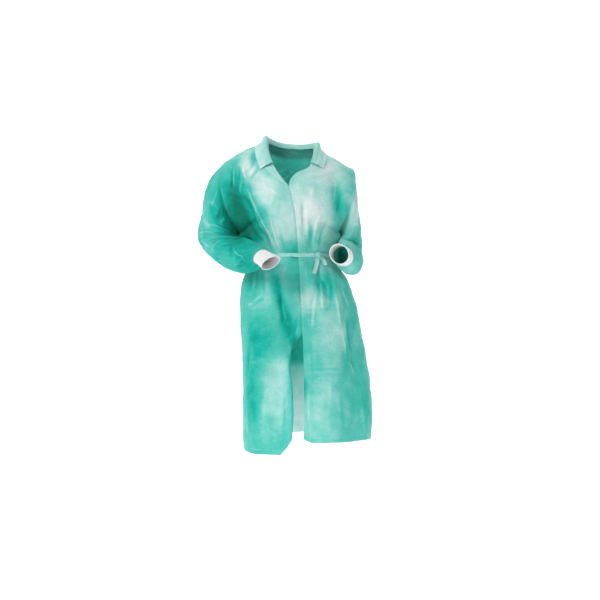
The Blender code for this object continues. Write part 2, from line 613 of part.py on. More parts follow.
def fold_sleeve(grid, normals, angles, name):
    """Add a sleeve's folds along its normals, calm at both seams."""
    along = np.linspace(0.0, 1.0, len(grid))[:, None]
    calm = ease(0.0, 0.10, along) * (1.0 - ease(0.90, 1.0, along))
    total = np.zeros(grid.shape[:2])
    for x0, z0, x1, z1, width, height in SLEEVE_FOLDS[name]:
        middle = np.radians((z0 + z1) / 2.0)
        turn = middle + (angles[None, :] - middle + np.pi) % (2.0 * np.pi) - np.pi
        fold = (x0 * SLEEVE_LENGTH, np.radians(z0) * SLEEVE_RADIUS, x1 * SLEEVE_LENGTH,
                np.radians(z1) * SLEEVE_RADIUS, width, height)
        total += folds_height(along * SLEEVE_LENGTH, turn * SLEEVE_RADIUS, [fold], SLEEVE_FOLD_COLUMNS)
    return grid + normals * (total * calm)[..., None]


def make_body():
    """The fronts, the back and the sleeves, whose walls share their normals at every seam."""
    torso = torso_grids()
    grids = dict(torso)
    angles = {}
    for name in ARMHOLES:
        grid, angles[name] = sleeve_grid(name, torso)
        grids["sleeve_" + name] = (grid, True)
    normals = grid_normals(grids)
    for name in ARMHOLES:
        key = "sleeve_" + name
        grids[key] = (fold_sleeve(grids[key][0], normals[key], angles[name], name), True)
    normals = grid_normals(grids)
    seams = {"front_right": ("last", "top"), "front_left": ("last", "top"), "back": ("first", "last", "top"),
             "sleeve_right": ("bottom",), "sleeve_left": ("bottom",)}
    for name, (grid, closed) in grids.items():
        outer = draw_in(grid, closed, seams[name])
        inner = draw_in(grid - normals[name] * CLOTH, closed, seams[name])
        make_wall(name, outer, inner, closed, GREEN)
    return {name: grid for name, (grid, closed) in grids.items()}, normals


def surface_tree(grids):
    """The outer faces of the body's panels, to lay other pieces on."""
    points, faces = [], []
    for name in ("front_right", "front_left", "back"):
        grid = grids[name]
        rows, columns = grid.shape[:2]
        start = len(points)
        points.extend(Vector(p) for p in grid.reshape(-1, 3))
        for r in range(rows - 1):
            for c in range(columns - 1):
                a = start + r * columns + c
                faces.append((a, a + 1, a + columns + 1))
                faces.append((a, a + columns + 1, a + columns))
    return BVHTree.FromPolygons(points, faces)


def lay_on(tree, point, lift):
    """The nearest place on the panels, moved out by lift."""
    spot, normal, _, _ = tree.find_nearest(Vector(point))
    if normal.dot(Vector(point) - Vector((0.0, 0.0, spot.z - 0.05))) < 0.0:
        normal = -normal
    return np.array(spot + normal * lift)


def halve(points):
    """A line of points with the middle of each stretch added."""
    line = [points[0]]
    for a, b in zip(points, points[1:]):
        line += [(a + b) / 2.0, b]
    return np.array(line)


def cut_line(points, normals, low):
    """The part of a rising line above a height, cut exactly there."""
    heights = points[:, 2]
    at = [low] + [h for h in heights if h > low]
    line = [[np.interp(h, heights, points[:, axis]) for axis in range(3)] for h in at]
    lean = [[np.interp(h, heights, normals[:, axis]) for axis in range(3)] for h in at]
    return np.array(line), np.array(lean)


def neck_line(grids, normals):
    """The neck's edge from the right notch round the back to the left one, and the panels' normals there."""
    right, left = [cut_line(grids[name][:, 0], normals[name][:, 0], COLLAR_NOTCH)
                   for name in ("front_right", "front_left")]
    middle = slice(FRONT_COLUMNS, FRONT_COLUMNS + NECK_COLUMNS + 1)
    back, back_lean = grids["back"][-1, middle], normals["back"][-1, middle]
    points = np.concatenate((right[0], back[1:-1], left[0][::-1]))
    lean = np.concatenate((right[1], back_lean[1:-1], left[1][::-1]))
    return halve(points), halve(lean)


def edge_frame(points, lean):
    """At each point of an edge, the way into the panel and the panel's normal."""
    along = unit(np.gradient(points, axis=0))
    lean = unit(lean - along * np.sum(lean * along, axis=-1, keepdims=True))
    inward = np.cross(along, lean)
    if np.sum(inward[:, :2] * points[:, :2]) < 0.0:
        inward = -inward
    return inward, lean


def make_collar(grids, normals, tree):
    """The collar: a stand that rises from the neck's edge, rolls over and falls on the shoulders."""
    points, lean = neck_line(grids, normals)
    into, up = edge_frame(points, lean)
    share = np.linspace(0.0, 1.0, len(points))
    ends = np.minimum(share, 1.0 - share)
    stand = COLLAR_STAND * (COLLAR_END + (1.0 - COLLAR_END) * ease(0.0, COLLAR_RISE, ends))
    rows = []
    for out, rise in COLLAR_ROLL:
        rows.append(points + into * out + up * (stand * rise)[:, None])
    for part, lift in COLLAR_LEAF:
        guess = points + into * (COLLAR_FALL * part)
        rows.append(np.array([lay_on(tree, p, lift) for p in guess]))
    rows[0] = points - into * COLLAR_CLEAR - up * CLOTH * COLLAR_SINK
    grid = np.array(rows)
    side = grid_normals({"collar": (grid, False)})["collar"]
    if np.sum(side[-1] * up) < 0.0:
        side = -side
    make_wall("collar", grid, grid + side * CLOTH, False, PALE_GREEN)


def row_spots(grid, normals, height, distances):
    """Places on a panel at the given distances in from its first column, at the edge's given height."""
    heights = grid[:, 0, 2]
    low = int(np.clip(np.searchsorted(heights, height) - 1, 0, len(heights) - 2))
    part = (height - heights[low]) / (heights[low + 1] - heights[low])
    row = grid[low] + (grid[low + 1] - grid[low]) * part
    lean = normals[low] + (normals[low + 1] - normals[low]) * part
    along = np.concatenate(([0.0], np.cumsum(np.linalg.norm(np.diff(row, axis=0), axis=1))))
    spots = np.stack([np.interp(distances, along, row[:, axis]) for axis in range(3)], axis=-1)
    leans = np.stack([np.interp(distances, along, lean[:, axis]) for axis in range(3)], axis=-1)
    return spots, unit(leans)


def make_edge_band(grids, normals):
    """The turned-back band that shows on the under front's edge, from the notch to the foot of the V."""
    table = named(EDGE_BAND, BAND_COLUMNS)
    grid, lean = grids["front_right"][SKIRT_ROWS:], normals["front_right"][SKIRT_ROWS:]
    edge = [z for z in grid[:, 0, 2] if table["z"][0] + BAND_INSET < z < table["z"][-1] - BAND_INSET]
    heights = halve(np.array([table["z"][0]] + edge + [table["z"][-1]]))
    under, over = [], []
    for height in heights:
        width = np.interp(height, table["z"], table["width"])
        distances = BAND_INSET + width * np.linspace(0.0, 1.0, BAND_STEPS + 1)
        spots, leans = row_spots(grid, lean, height, distances)
        under.append(spots + leans * BAND_LIFT)
        over.append(spots + leans * (BAND_LIFT + BAND))
    make_wall("edge_band_right", np.array(over), np.array(under), False, PALE_GREEN)


def make_cuff(name):
    """A rib-knit cuff: ribs raised in its outer points over a plain inside."""
    count = 2 * CUFF_RIBS
    angles = np.arange(count) * 2.0 * np.pi / count
    table = named((SLEEVE_TABLES[name][-1], CUFF_TABLES[name]), RING_COLUMNS)
    start, end = ring_points(table, angles)
    face = unit(np.cross(start[count // 4] - start[0], start[count // 2] - start[0]))
    if np.dot(face, end.mean(axis=0) - start.mean(axis=0)) < 0.0:
        face = -face
    start = start + face * GAP
    rings = np.array([start + (end - start) * part for part in np.linspace(0.0, 1.0, CUFF_STEPS + 1)])
    away = unit(rings - rings.mean(axis=1, keepdims=True))
    ribs = np.where(np.arange(count) % 2 == 0, CUFF_RIB_HEIGHT, 0.0)
    outer = rings + away * ribs[None, :, None]
    make_wall("cuff_" + name, outer, rings - away * KNIT, True, WHITE)


def plan_hull(points):
    """The outline that a taut strip takes round a set of plan points, anticlockwise."""
    points = sorted(set(map(tuple, points)))
    hull = []
    for ordered in (points, points[::-1]):
        chain = []
        for p in ordered:
            while len(chain) > 1:
                (ax, ay), (bx, by) = chain[-2], chain[-1]
                if (bx - ax) * (p[1] - ay) - (by - ay) * (p[0] - ax) > 0.0:
                    break
                chain.pop()
            chain.append(p)
        hull += chain[:-1]
    return np.array(hull)


def waist_outline(grids):
    """The taut outline of the panels where the tie crosses them, from their columns and their diagonals."""
    spots = []
    for name in ("front_right", "front_left", "back"):
        grid = grids[name][:SKIRT_ROWS + 1]
        lines = ((grid[:-1], grid[1:]), (grid[:-1, :-1], grid[1:, 1:]), (grid[:-1, 1:], grid[1:, :-1]))
        for low, high in lines:
            for height in WAIST + TIE_WIDTH * np.linspace(-0.5, 0.5, TIE_LEVELS):
                part = (height - low[..., 2]) / (high[..., 2] - low[..., 2])
                crossed = (part >= 0.0) & (part <= 1.0)
                spots.extend((low + (high - low) * part[..., None])[crossed][:, :2])
    return plan_hull(spots)


def hull_ring(outline):
    """The outline without its shortest steps, and the outward direction at each of its points."""
    kept = [outline[0]]
    for point in outline[1:]:
        if np.linalg.norm(point - kept[-1]) > TIE_STEP and np.linalg.norm(point - kept[0]) > TIE_STEP:
            kept.append(point)
    points = np.array(kept)
    along = unit(np.roll(points, -1, axis=0) - np.roll(points, 1, axis=0))
    return points, np.stack((along[:, 1], -along[:, 0]), axis=-1)


def make_tie(grids):
    """The tie's band round the waist. Returns its outer points in plan and their outward directions."""
    points, away = hull_ring(waist_outline(grids))
    low, high = WAIST - TIE_WIDTH / 2.0, WAIST + TIE_WIDTH / 2.0
    skins = []
    for lift in (TIE_LIFT + BAND, TIE_LIFT):
        ring = points + away * lift
        skins.append(np.array([np.column_stack((ring, np.full(len(ring), z))) for z in (low, high)]))
    make_wall("waist_tie", skins[0], skins[1], True, PALE_GREEN)
    return skins[0][0][:, :2], away


def make_knot(ring, away):
    """The knot, flat behind, just clear of the tie's band."""
    front = np.where(ring[:, 1] < 0.0)[0]
    front = front[np.argsort(ring[front, 0])]
    spot = np.array([np.interp(KNOT_X, ring[front, 0], ring[front, axis]) for axis in (0, 1)])
    out = unit(np.array([np.interp(KNOT_X, ring[front, 0], away[front, axis]) for axis in (0, 1)]))
    along = np.array((-out[1], out[0]))
    reach = max(np.dot(p, out) for p in ring) + GAP + KNOT_SIZE[1] / 2.0
    centre = out * reach + along * np.dot(spot, along)
    bm = bmesh.new()
    bmesh.ops.create_cube(bm, size=1.0)
    bmesh.ops.scale(bm, vec=KNOT_SIZE, verts=bm.verts)
    bmesh.ops.bevel(bm, geom=bm.edges[:], offset=KNOT_ROUND, segments=2, affect="EDGES")
    for vert in bm.verts:
        x, y = vert.co.x, vert.co.y
        vert.co.x = centre[0] + along[0] * x - out[0] * y
        vert.co.y = centre[1] + along[1] * x - out[1] * y
        vert.co.z += WAIST
    bmesh.ops.triangulate(bm, faces=bm.faces)
    finish_piece("tie_knot", bm, PALE_GREEN)


def make_tie_end(name, tree):
    """A free end of the tie, which hangs on the front from the knot."""
    route = halve(np.array(TIE_ENDS[name]["route"]))
    along = unit(np.gradient(route, axis=0))
    across = np.stack((-along[:, 1], along[:, 0]), axis=-1)
    grid = []
    for part in (-0.5, 0.5):
        row = []
        for (x, z), (wx, wz) in zip(route, across):
            px, pz = x + wx * part * TIE_WIDTH, z + wz * part * TIE_WIDTH
            hit, _, _, _ = tree.ray_cast(Vector((px, -1.0, pz)), Vector((0.0, 1.0, 0.0)))
            row.append((px, hit.y - TIE_ENDS[name]["lift"], pz))
        grid.append(row)
    grid = np.array(grid)
    make_wall(name, grid, grid - np.array((0.0, BAND, 0.0)), False, PALE_GREEN)


def main():
    for old in list(bpy.data.objects):
        bpy.data.objects.remove(old, do_unlink=True)
    grids, normals = make_body()
    tree = surface_tree(grids)
    make_collar(grids, normals, tree)
    make_edge_band(grids, normals)
    for name in ARMHOLES:
        make_cuff(name)
    ring, away = make_tie(grids)
    make_knot(ring, away)
    for name in TIE_ENDS:
        make_tie_end(name, tree)


main()
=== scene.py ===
"""A worn surgical gown of thin green nonwoven cloth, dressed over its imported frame.

Metres, +Z up. The front faces -Y and the wearer's left is +X. The origin is at the base of the neck.
Laid out as an add-on and run as a script: each operator makes one piece or one group of like pieces.
"""
import functools
import math

import bpy
import numpy as np
from bpy.props import FloatProperty, FloatVectorProperty, PointerProperty
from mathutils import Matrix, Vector, noise
from mathutils.bvhtree import BVHTree


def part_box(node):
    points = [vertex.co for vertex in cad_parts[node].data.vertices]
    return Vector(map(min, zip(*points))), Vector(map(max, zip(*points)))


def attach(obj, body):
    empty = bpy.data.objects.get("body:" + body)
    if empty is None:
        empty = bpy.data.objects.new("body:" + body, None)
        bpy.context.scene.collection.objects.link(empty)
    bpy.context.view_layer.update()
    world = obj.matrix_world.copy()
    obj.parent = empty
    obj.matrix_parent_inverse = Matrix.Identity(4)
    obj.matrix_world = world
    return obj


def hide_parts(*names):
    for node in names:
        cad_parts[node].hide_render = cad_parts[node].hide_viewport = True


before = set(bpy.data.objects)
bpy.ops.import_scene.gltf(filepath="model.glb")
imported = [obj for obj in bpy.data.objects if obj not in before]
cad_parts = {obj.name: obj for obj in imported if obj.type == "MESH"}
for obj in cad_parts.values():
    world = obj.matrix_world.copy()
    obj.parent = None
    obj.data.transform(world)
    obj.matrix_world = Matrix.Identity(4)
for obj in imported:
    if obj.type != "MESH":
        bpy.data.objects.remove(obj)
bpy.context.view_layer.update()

bl_info = {
    "name": "Surgical gown",
    "version": (1, 0, 0),
    "blender": (4, 5, 0),
    "location": "3D View > Sidebar > Gown",
    "description": "Makes a worn surgical gown with its collar, cuffs and waist tie",
    "category": "Add Mesh",
}

# The long tables are written in millimetres, percent and degrees. These say, for each of their columns, how
# many of its parts make a metre, a whole or a degree
MM = 1000
PERCENT = 100
EDGE_UNITS = (MM,) * 2
SECTION_UNITS = (MM,) * 6 + (1,)
FOLD_UNITS = (MM,) * 6
RING_UNITS = (MM,) * 10
CREASE_UNITS = (MM,) * 7
TONE_UNITS = (MM,) * 4 + (1, 1)
SLEEVE_FOLD_UNITS = (PERCENT, 1, PERCENT, 1, MM, MM)
SLEEVE_CREASE_UNITS = SLEEVE_FOLD_UNITS + (MM,)
SLEEVE_TONE_UNITS = (PERCENT, 1, MM, MM, 1, 1)


def from_units(units, table):
    """A table's rows in metres, shares and degrees."""
    if isinstance(table, dict):
        return {key: from_units(units, rows) for key, rows in table.items()}
    return tuple(tuple(value / unit for value, unit in zip(row, units)) for row in table)


# Heights and seams on the body, as in the solids
SHOULDER_TOP = 0.020
UNDERARM = -0.230
HEM = -0.970
WAIST = -0.362
SEAM_Y = 0.008

# Grid of the panels, which is halved once more for the finest creases
SKIRT_ROWS = 76
CHEST_ROWS = 36
FRONT_COLUMNS = 40
NECK_COLUMNS = 16
SLEEVE_RINGS = 54

# Rows of the body from the hem to the underarm: X of both side seams and of the middle, Y of the front and
# of the back, and how square the row's corners are (a smaller number is squarer)
SECTION_COLUMNS = ("z", "right", "left", "middle", "front", "back", "square")
SECTIONS = from_units(SECTION_UNITS, (
    (-970, -159, 268, 50, -180, 185, 0.9),
    (-900, -161, 271, 50, -174, 180, 0.9),
    (-800, -161, 266, 48, -165, 171, 0.9),
    (-700, -163, 252, 42, -155, 161, 0.88),
    (-600, -168, 232, 32, -146, 150, 0.85),
    (-510, -170, 214, 22, -139, 141, 0.82),
    (-440, -160, 187, 14, -132, 128, 0.8),
    (-395, -142, 156, 8, -124, 110, 0.84),
    (-362, -135, 145, 5, -119, 102, 0.85),
    (-325, -141, 147, 3, -124, 104, 0.78),
    (-275, -158, 155, 1, -134, 111, 0.74),
    (-230, -168, 162, 0, -136.5, 114, 0.76),
))

# The armholes, from under the arm to the tip at the shoulder. slope says how late a row drops towards the tip
ARMHOLES = {
    "right": {"side": -1, "under_x": -0.161, "under_z": -0.283, "tip_x": -0.216, "tip_z": -0.045,
              "bulge": -0.039, "half_depth": 0.083, "slope": 2.6},
    "left": {"side": 1, "under_x": 0.154, "under_z": -0.281, "tip_x": 0.204, "tip_z": -0.070,
             "bulge": 0.026, "half_depth": 0.078, "slope": 1.4},
}
ARMHOLE_ONSET = 1.4  # how gently an armhole's bulge starts and ends
BULGE_POWER = 3.0  # how close to the seam the bulge stays
DEPTH_ONSET = 1.1  # how gently an armhole's depth starts and ends
SIDE_EASE = (0.86, 1.0)  # levels between which the side seam moves out to the armhole's foot
BOW_SIDE = 90.0  # degrees that each half of a row turns through, up to the underarm
BOW_SHOULDER = 48.0  # and at the shoulder seam
CHEST_ROUNDING = 2.2  # how boxy the front is between the underarm and the shoulder
BACK_ROUNDING = 2.8
SQUARE_END = 1.6  # level from which a row's corners are round
NECK_X = 0.076  # where the shoulder seams end at the neck
NECK_DIP = 30.0  # how far the neck's edge dips behind, in degrees of the half turn over the shoulder
NECK_DIP_SHAPE = 0.75

# X of the fronts' free edges at each height. The under edge is the wearer's right front's
EDGE_COLUMNS = ("z", "x")
UNDER_EDGE = from_units(EDGE_UNITS, (
    (-970, 4), (-930, 7), (-790, 6), (-700, -3), (-676, 2), (-655, 18),
    (-625, 36), (-560, 48), (-460, 56), (-362, 57), (-250, 50), (-190, 32),
    (-160, 14), (-138, -4), (-115, -24), (-92, -41), (-66, -55),
    (-45, -64.5), (-12, -73.5), (20, -76),
))
OVER_EDGE = from_units(EDGE_UNITS, (
    (-970, 41), (-930, 43.5), (-800, 43.5), (-713, 42), (-600, 37), (-500, 32),
    (-362, 24), (-204, 10.6), (-154, 0), (-131, -5.5), (-112, 1),
    (-95, 14), (-80, 32), (-69, 48), (-55, 60), (-35, 67), (-12, 73),
    (20, 76),
))
OVERLAP_DROP = 0.0065  # how far the under front lies inside the over front
OVERLAP_EASE = (-0.050, -0.006)  # in X from the over front's edge
OVERLAP_END = (-0.700, -0.620)  # heights between which the two fronts part

# How far the hem drops at each turn: 0 is the middle in front, -1 and 1 are the side seams, 2 is behind
HEM_COLUMNS = ("turn", "drop")
HEM_RIGHT = ((-2.0, 0.0), (-1.35, 0.0), (-1.0, 0.010), (-0.93, 0.024), (-0.82, 0.038), (-0.6, 0.042),
             (-0.27, 0.040), (-0.19, 0.014), (-0.13, -0.014), (0.2, -0.014))
HEM_LEFT = ((-0.05, -0.017), (0.0, -0.008), (0.05, 0.0), (1.0, 0.0), (2.0, 0.0))
HEM_FADE = (-0.960, -0.840)  # heights between which the drop fades out

# The large folds, which the solids have too: line from (x0, z0) to (x1, z1), half width and height
FOLD_COLUMNS = ("x0", "z0", "x1", "z1", "width", "height")
FRONT_FOLDS = from_units(FOLD_UNITS, (
    (-54, -434, -19, -571, 15, -12), (-10, -560, 14, -690, 26, -16),
    (-158, -190, -95, -300, 28, -18), (-143, -150, -101, -265, 11, 6),
    (-101, -265, -44, -345, 10, 6), (-74, -240, -40, -348, 10, -5),
    (42, -190, 43, -300, 10, -5), (-25, -290, -12, -345, 18, -6),
    (64, -255, 70, -335, 14, -5), (88, -395, 98, -462, 12, -11),
    (98, -462, 122, -500, 11, -8), (131, -440, 124, -520, 12, -7),
    (137, -440, 153, -603, 13, 6), (176, -470, 202, -555, 14, -6),
    (190, -580, 216, -770, 17, -10), (36, -730, 43, -850, 12, -11),
    (-110, -620, -100, -960, 45, 13), (115, -560, 130, -960, 55, 13),
    (-45, -740, -38, -1000, 22, -7), (205, -820, 225, -980, 26, -9),
    (150, -105, 160, -210, 22, -10), (-100, -60, -150, -110, 12, -5),
))
BACK_FOLDS = from_units(FOLD_UNITS, (
    (-150, -160, -90, -310, 22, -11), (145, -150, 85, -310, 22, -11),
    (-60, -200, -35, -335, 14, 5), (20, -180, 30, -335, 13, -5),
    (70, -230, 60, -335, 13, 5), (-70, -400, -95, -620, 20, -10),
    (-20, -400, -25, -660, 22, 9), (40, -400, 70, -660, 20, -11),
    (95, -400, 120, -640, 22, 9), (-75, -640, -90, -980, 28, 14),
    (-30, -700, -35, -980, 26, -13), (30, -680, 45, -980, 30, 14),
    (100, -720, 125, -980, 28, -14), (165, -650, 200, -980, 28, 10),
))
FOLD_FACE = (0.10, 0.45)  # folds fade out towards the side seams, by the cosine of the turn
FOLD_TOP = (1.70, 1.95)  # and towards the shoulder, by level
FOLD_CALM = 0.004  # none this close to the waist

GATHERS = 16  # round the waist
GATHER_HEIGHT = 0.0050
GATHER_WIDTH = 0.075  # in quarter turns
GATHER_REACH = 0.075  # above and below the waist
GATHER_CALM = 0.014  # under the tie
GATHER_SHIFT = 0.28  # how unevenly they are spaced
GATHER_SHIFT_STEP = 2.4
GATHER_VARY = 0.25  # how much their heights differ
GATHER_VARY_STEP = 1.7

# Rings of the sleeves: the inner and outer end, the half depth across them, how far the front of the ring
# leads along the arm, and how far it leans in X
RING_COLUMNS = ("inner_x", "inner_y", "inner_z", "outer_x", "outer_y", "outer_z", "depth_x", "depth_y",
                "lead", "spread")
SLEEVE_TABLES = from_units(RING_UNITS, {
    "right": (
        (-176, -7, -291, -250, 12, -76, 0, -83, 23, -14),
        (-177, -22, -295, -280, 22, -119, -6, -79, 20, -11),
        (-177, -38, -297, -293, 33, -172, -13, -73, 16, -7),
        (-175, -54, -299, -303, 46, -226, -21, -66, 11, -3),
        (-173, -70, -300, -308, 57, -276, -29, -58, 6, 0),
        (-171, -86, -301, -300, 55, -317, -35, -50, 2, 0),
        (-162, -102, -303, -270, 22, -354, -38, -42, 0, 0),
        (-150, -119, -307, -232, -20, -389, -39, -35, 0, 0),
        (-133, -140, -316, -190, -75, -413, -40, -31, 0, 0),
        (-115, -165, -326, -150, -130, -422, -40, -29, 0, 0),
        (-99, -185, -335, -123, -164, -413, -36, -25, 0, 0),
        (-86, -199.2, -347.5, -105, -189.3, -391.5, -21.3, -14.9, 0, 0),
    ),
    "left": (
        (165, 2, -284, 212, 14, -100, 2, -75, 14, 17),
        (167, -15, -290, 216, 22, -140, 6, -68, 12, 14),
        (168, -33, -295, 219, 32, -190, 12, -60, 9, 10),
        (169, -50, -300, 222, 44, -250, 20, -50, 5, 6),
        (170, -68, -305, 225, 56, -312, 27, -39, 2, 2),
        (170, -85, -309, 225, 58, -365, 31, -27, 0, 0),
        (173, -101, -314, 221, 30, -406, 34, -16, 0, 0),
        (180, -115, -320, 210, -25, -424, 36, -10, 0, 0),
        (181, -131, -325, 197, -86, -425, 37, -8, 0, 0),
        (174, -157, -328, 184, -137, -416, 38, -8, 0, 0),
        (166, -181, -335.5, 171.2, -177.2, -400, 31.8, -6.8, 0, 0),
    ),
})
# Folds of the sleeves, from (along, turn) to (along, turn), with half width and height. along is 0 at the
# armhole and 1 at the cuff, turn is in degrees from the ring's outer end towards its front
SLEEVE_FOLDS = from_units(SLEEVE_FOLD_UNITS, {
    "right": (
        (14, 110, 30, 60, 14, 4), (20, 50, 34, 15, 14, -5),
        (36, 165, 40, 50, 13, -6), (48, 170, 53, 50, 13, -6),
        (63, 160, 70, 30, 11, -5), (80, 150, 86, 40, 10, 3),
        (20, 240, 34, 320, 16, -6), (44, 200, 42, 310, 14, -6),
        (62, 210, 58, 310, 13, -5),
    ),
    "left": (
        (16, 70, 34, 110, 14, 4), (30, 60, 44, 120, 13, -5),
        (51, 190, 53, 90, 10, -7), (62, 175, 62, 60, 13, 4),
        (74, 170, 80, 60, 11, -4), (50, 215, 44, 310, 14, -5),
        (66, 210, 60, 310, 13, -5),
    ),
})
SLEEVE_LENGTH = 0.52  # metres for each unit of along
SLEEVE_RADIUS = 0.055  # and for each radian of turn
SLEEVE_CALM = 0.10  # no folds this close to either end, as a share of the length

# The cuffs' free ends, each as a ring
CUFF_TABLES = from_units(RING_UNITS, {
    "right": ((-45.5, -250, -370, -80, -237, -413, -23.5, -16.1, 0, 0),),
    "left": ((151, -238, -331, 158, -234, -395, 30.3, -6.5, 0, 0),),
})
CUFF_RIBS = 40
CUFF_ROWS = 34
RIB_POINTS = 8  # round each rib
RIB_SHAPE = 0.7  # below 1 the ribs are broader than their valleys
RIB_SUNK = 0.35  # share of a rib's height that lies inside the solid's face
CUFF_PINCH = 0.0012  # how far the knit draws in halfway along
CUFF_PINCH_VARY = 0.4  # by how much more or less round the cuff, in three waves
CUFF_LIP = 0.0006  # how far its free end stands out
CUFF_LIP_REACH = 0.05  # as a share of its length

COLLAR_NOTCH = -0.062  # height of the collar's two ends
COLLAR_STAND = 0.026  # height of its stand
COLLAR_END = 0.30  # share of that height at its ends
COLLAR_RISE = 0.28  # share of its length over which the stand rises
COLLAR_FALL = 0.044  # width of its leaf
COLLAR_CLEAR = 0.0004  # its foot stands this far off the panels' edge
# Rows up the stand and over the roll: way outwards and share of the stand's height
COLLAR_ROLL = ((0.0, 0.0), (-0.0010, 0.45), (0.0015, 0.85), (0.0065, 1.0), (0.0125, 0.86))
# Rows down the leaf: share of its width and lift off the panels
COLLAR_LEAF = ((0.50, 0.0095), (0.76, 0.0055), (1.0, 0.0032))
COLLAR_POINTS = 121  # along its length
COLLAR_SOFTEN = {"points": 8, "lean": 40, "into": 12, "leaf": 16}  # how often each line is averaged
COLLAR_TURN = 0.35  # share of the rows after which the leaf waves and gets paler
COLLAR_WAVE = 0.0011
COLLAR_WAVE_SCALE = 55.0  # waves of the leaf in a metre
COLLAR_BEAD = 0.0005  # how far its turned edge stands out
COLLAR_BEAD_REACH = 0.0016

# The band along the under front's edge
BAND_COLUMNS = ("z", "width")
EDGE_BAND = ((-0.134, 0.006), (-0.118, 0.014), (-0.100, 0.022), (-0.085, 0.027), (-0.070, 0.030))
BAND_ROWS = 31
BAND_STEPS = 12  # across
BAND_INSET = 0.0008  # from the front's edge
BAND_LIFT = 0.0007  # off the front
BAND_PUFF = 0.0007  # how much thicker it is in its middle
BAND_PUFF_SHAPE = 0.7

TIE_LEVELS = 9  # heights at which the panels are cut to find the tie's outline
TIE_STEP = 0.0030  # between points round the tie
TIE_COLUMNS = 9  # points across it
TIE_LIFT = 0.0008  # off the outline
TIE_SWAY = ((0.0006, 9.0, 0.0), (0.0004, 23.0, 1.0))  # up and down: height, waves round the waist and start
TIE_PUFF = 0.0005  # how far its middle stands out
TIE_RIPPLE = 0.00025  # fine ripples along it
TIE_RIPPLES = 31.0  # round the waist
TIE_RIPPLE_LEAN = 6.0  # radians between its two edges

KNOT_X = 0.088
KNOT_CUTS = 7  # of the cube that the knot is shaped from
KNOT_ROUND = 0.55  # 1 would make it a ball
KNOT_TURN = 0.2  # half width of the turn across it, in cube sides
KNOT_TURN_LEAN = 0.35
KNOT_TURN_FACING = 0.5  # faces that point further sideways than this, squared, stay out of the turn
KNOT_TURN_RAISE = 0.07
KNOT_SIZE = (0.0195, 0.0072, 0.0160)
KNOT_TAPER = 0.25  # towards its top and bottom
KNOT_UV = 0.03  # metres that its UV map spans

# The tie's free ends: points (x, z) of each, from the knot down, and how far in front of the panels they hang
TIE_ENDS = {
    "tie_end_shown": {"route": ((0.0880, -0.3717), (0.0865, -0.3850), (0.0815, -0.4040), (0.0745, -0.4230)),
                      "lift": 0.004},
    "tie_end_hidden": {"route": ((0.0974, -0.3699), (0.1070, -0.3795), (0.1140, -0.3950)), "lift": 0.005},
}
END_REFINES = 3  # times that an end's route is made twice as fine
END_SOFTEN = 20
END_CURL = 0.0014  # how far both sides of an end curl back at its tip
END_TWIST = 0.0012  # and how far it twists
END_TWIST_WAVE = 3.0

# Stitched lines: the edge that a line follows, how far in it runs, and along which axis of the UV map
SEAMS = {
    "back": (("bottom_m", 0.016, "u"), ("first_m", 0.004, "v"), ("last_m", 0.004, "v")),
    "front": (("bottom_m", 0.016, "u"), ("first_m", 0.003, "v"), ("first_m", 0.022, "v"),
              ("last_m", 0.004, "v")),
    "sleeve": (("bottom_m", 0.0045, "u"), ("top_m", 0.006, "u")),
    "collar": (("edge_m", 0.0045, "u"), ("end_m", 0.0045, "v"), ("foot_m", 0.003, "u")),
    "edge_band": (("edge_m", 0.0030, "v"), ("inner_m", 0.0025, "v")),
    "tie": (("edge_m", 0.0018, "u"), ("other_m", 0.0018, "u")),
    "tie_ends": (("edge_m", 0.0018, "v"), ("other_m", 0.0018, "v")),
    "knot": (),
}

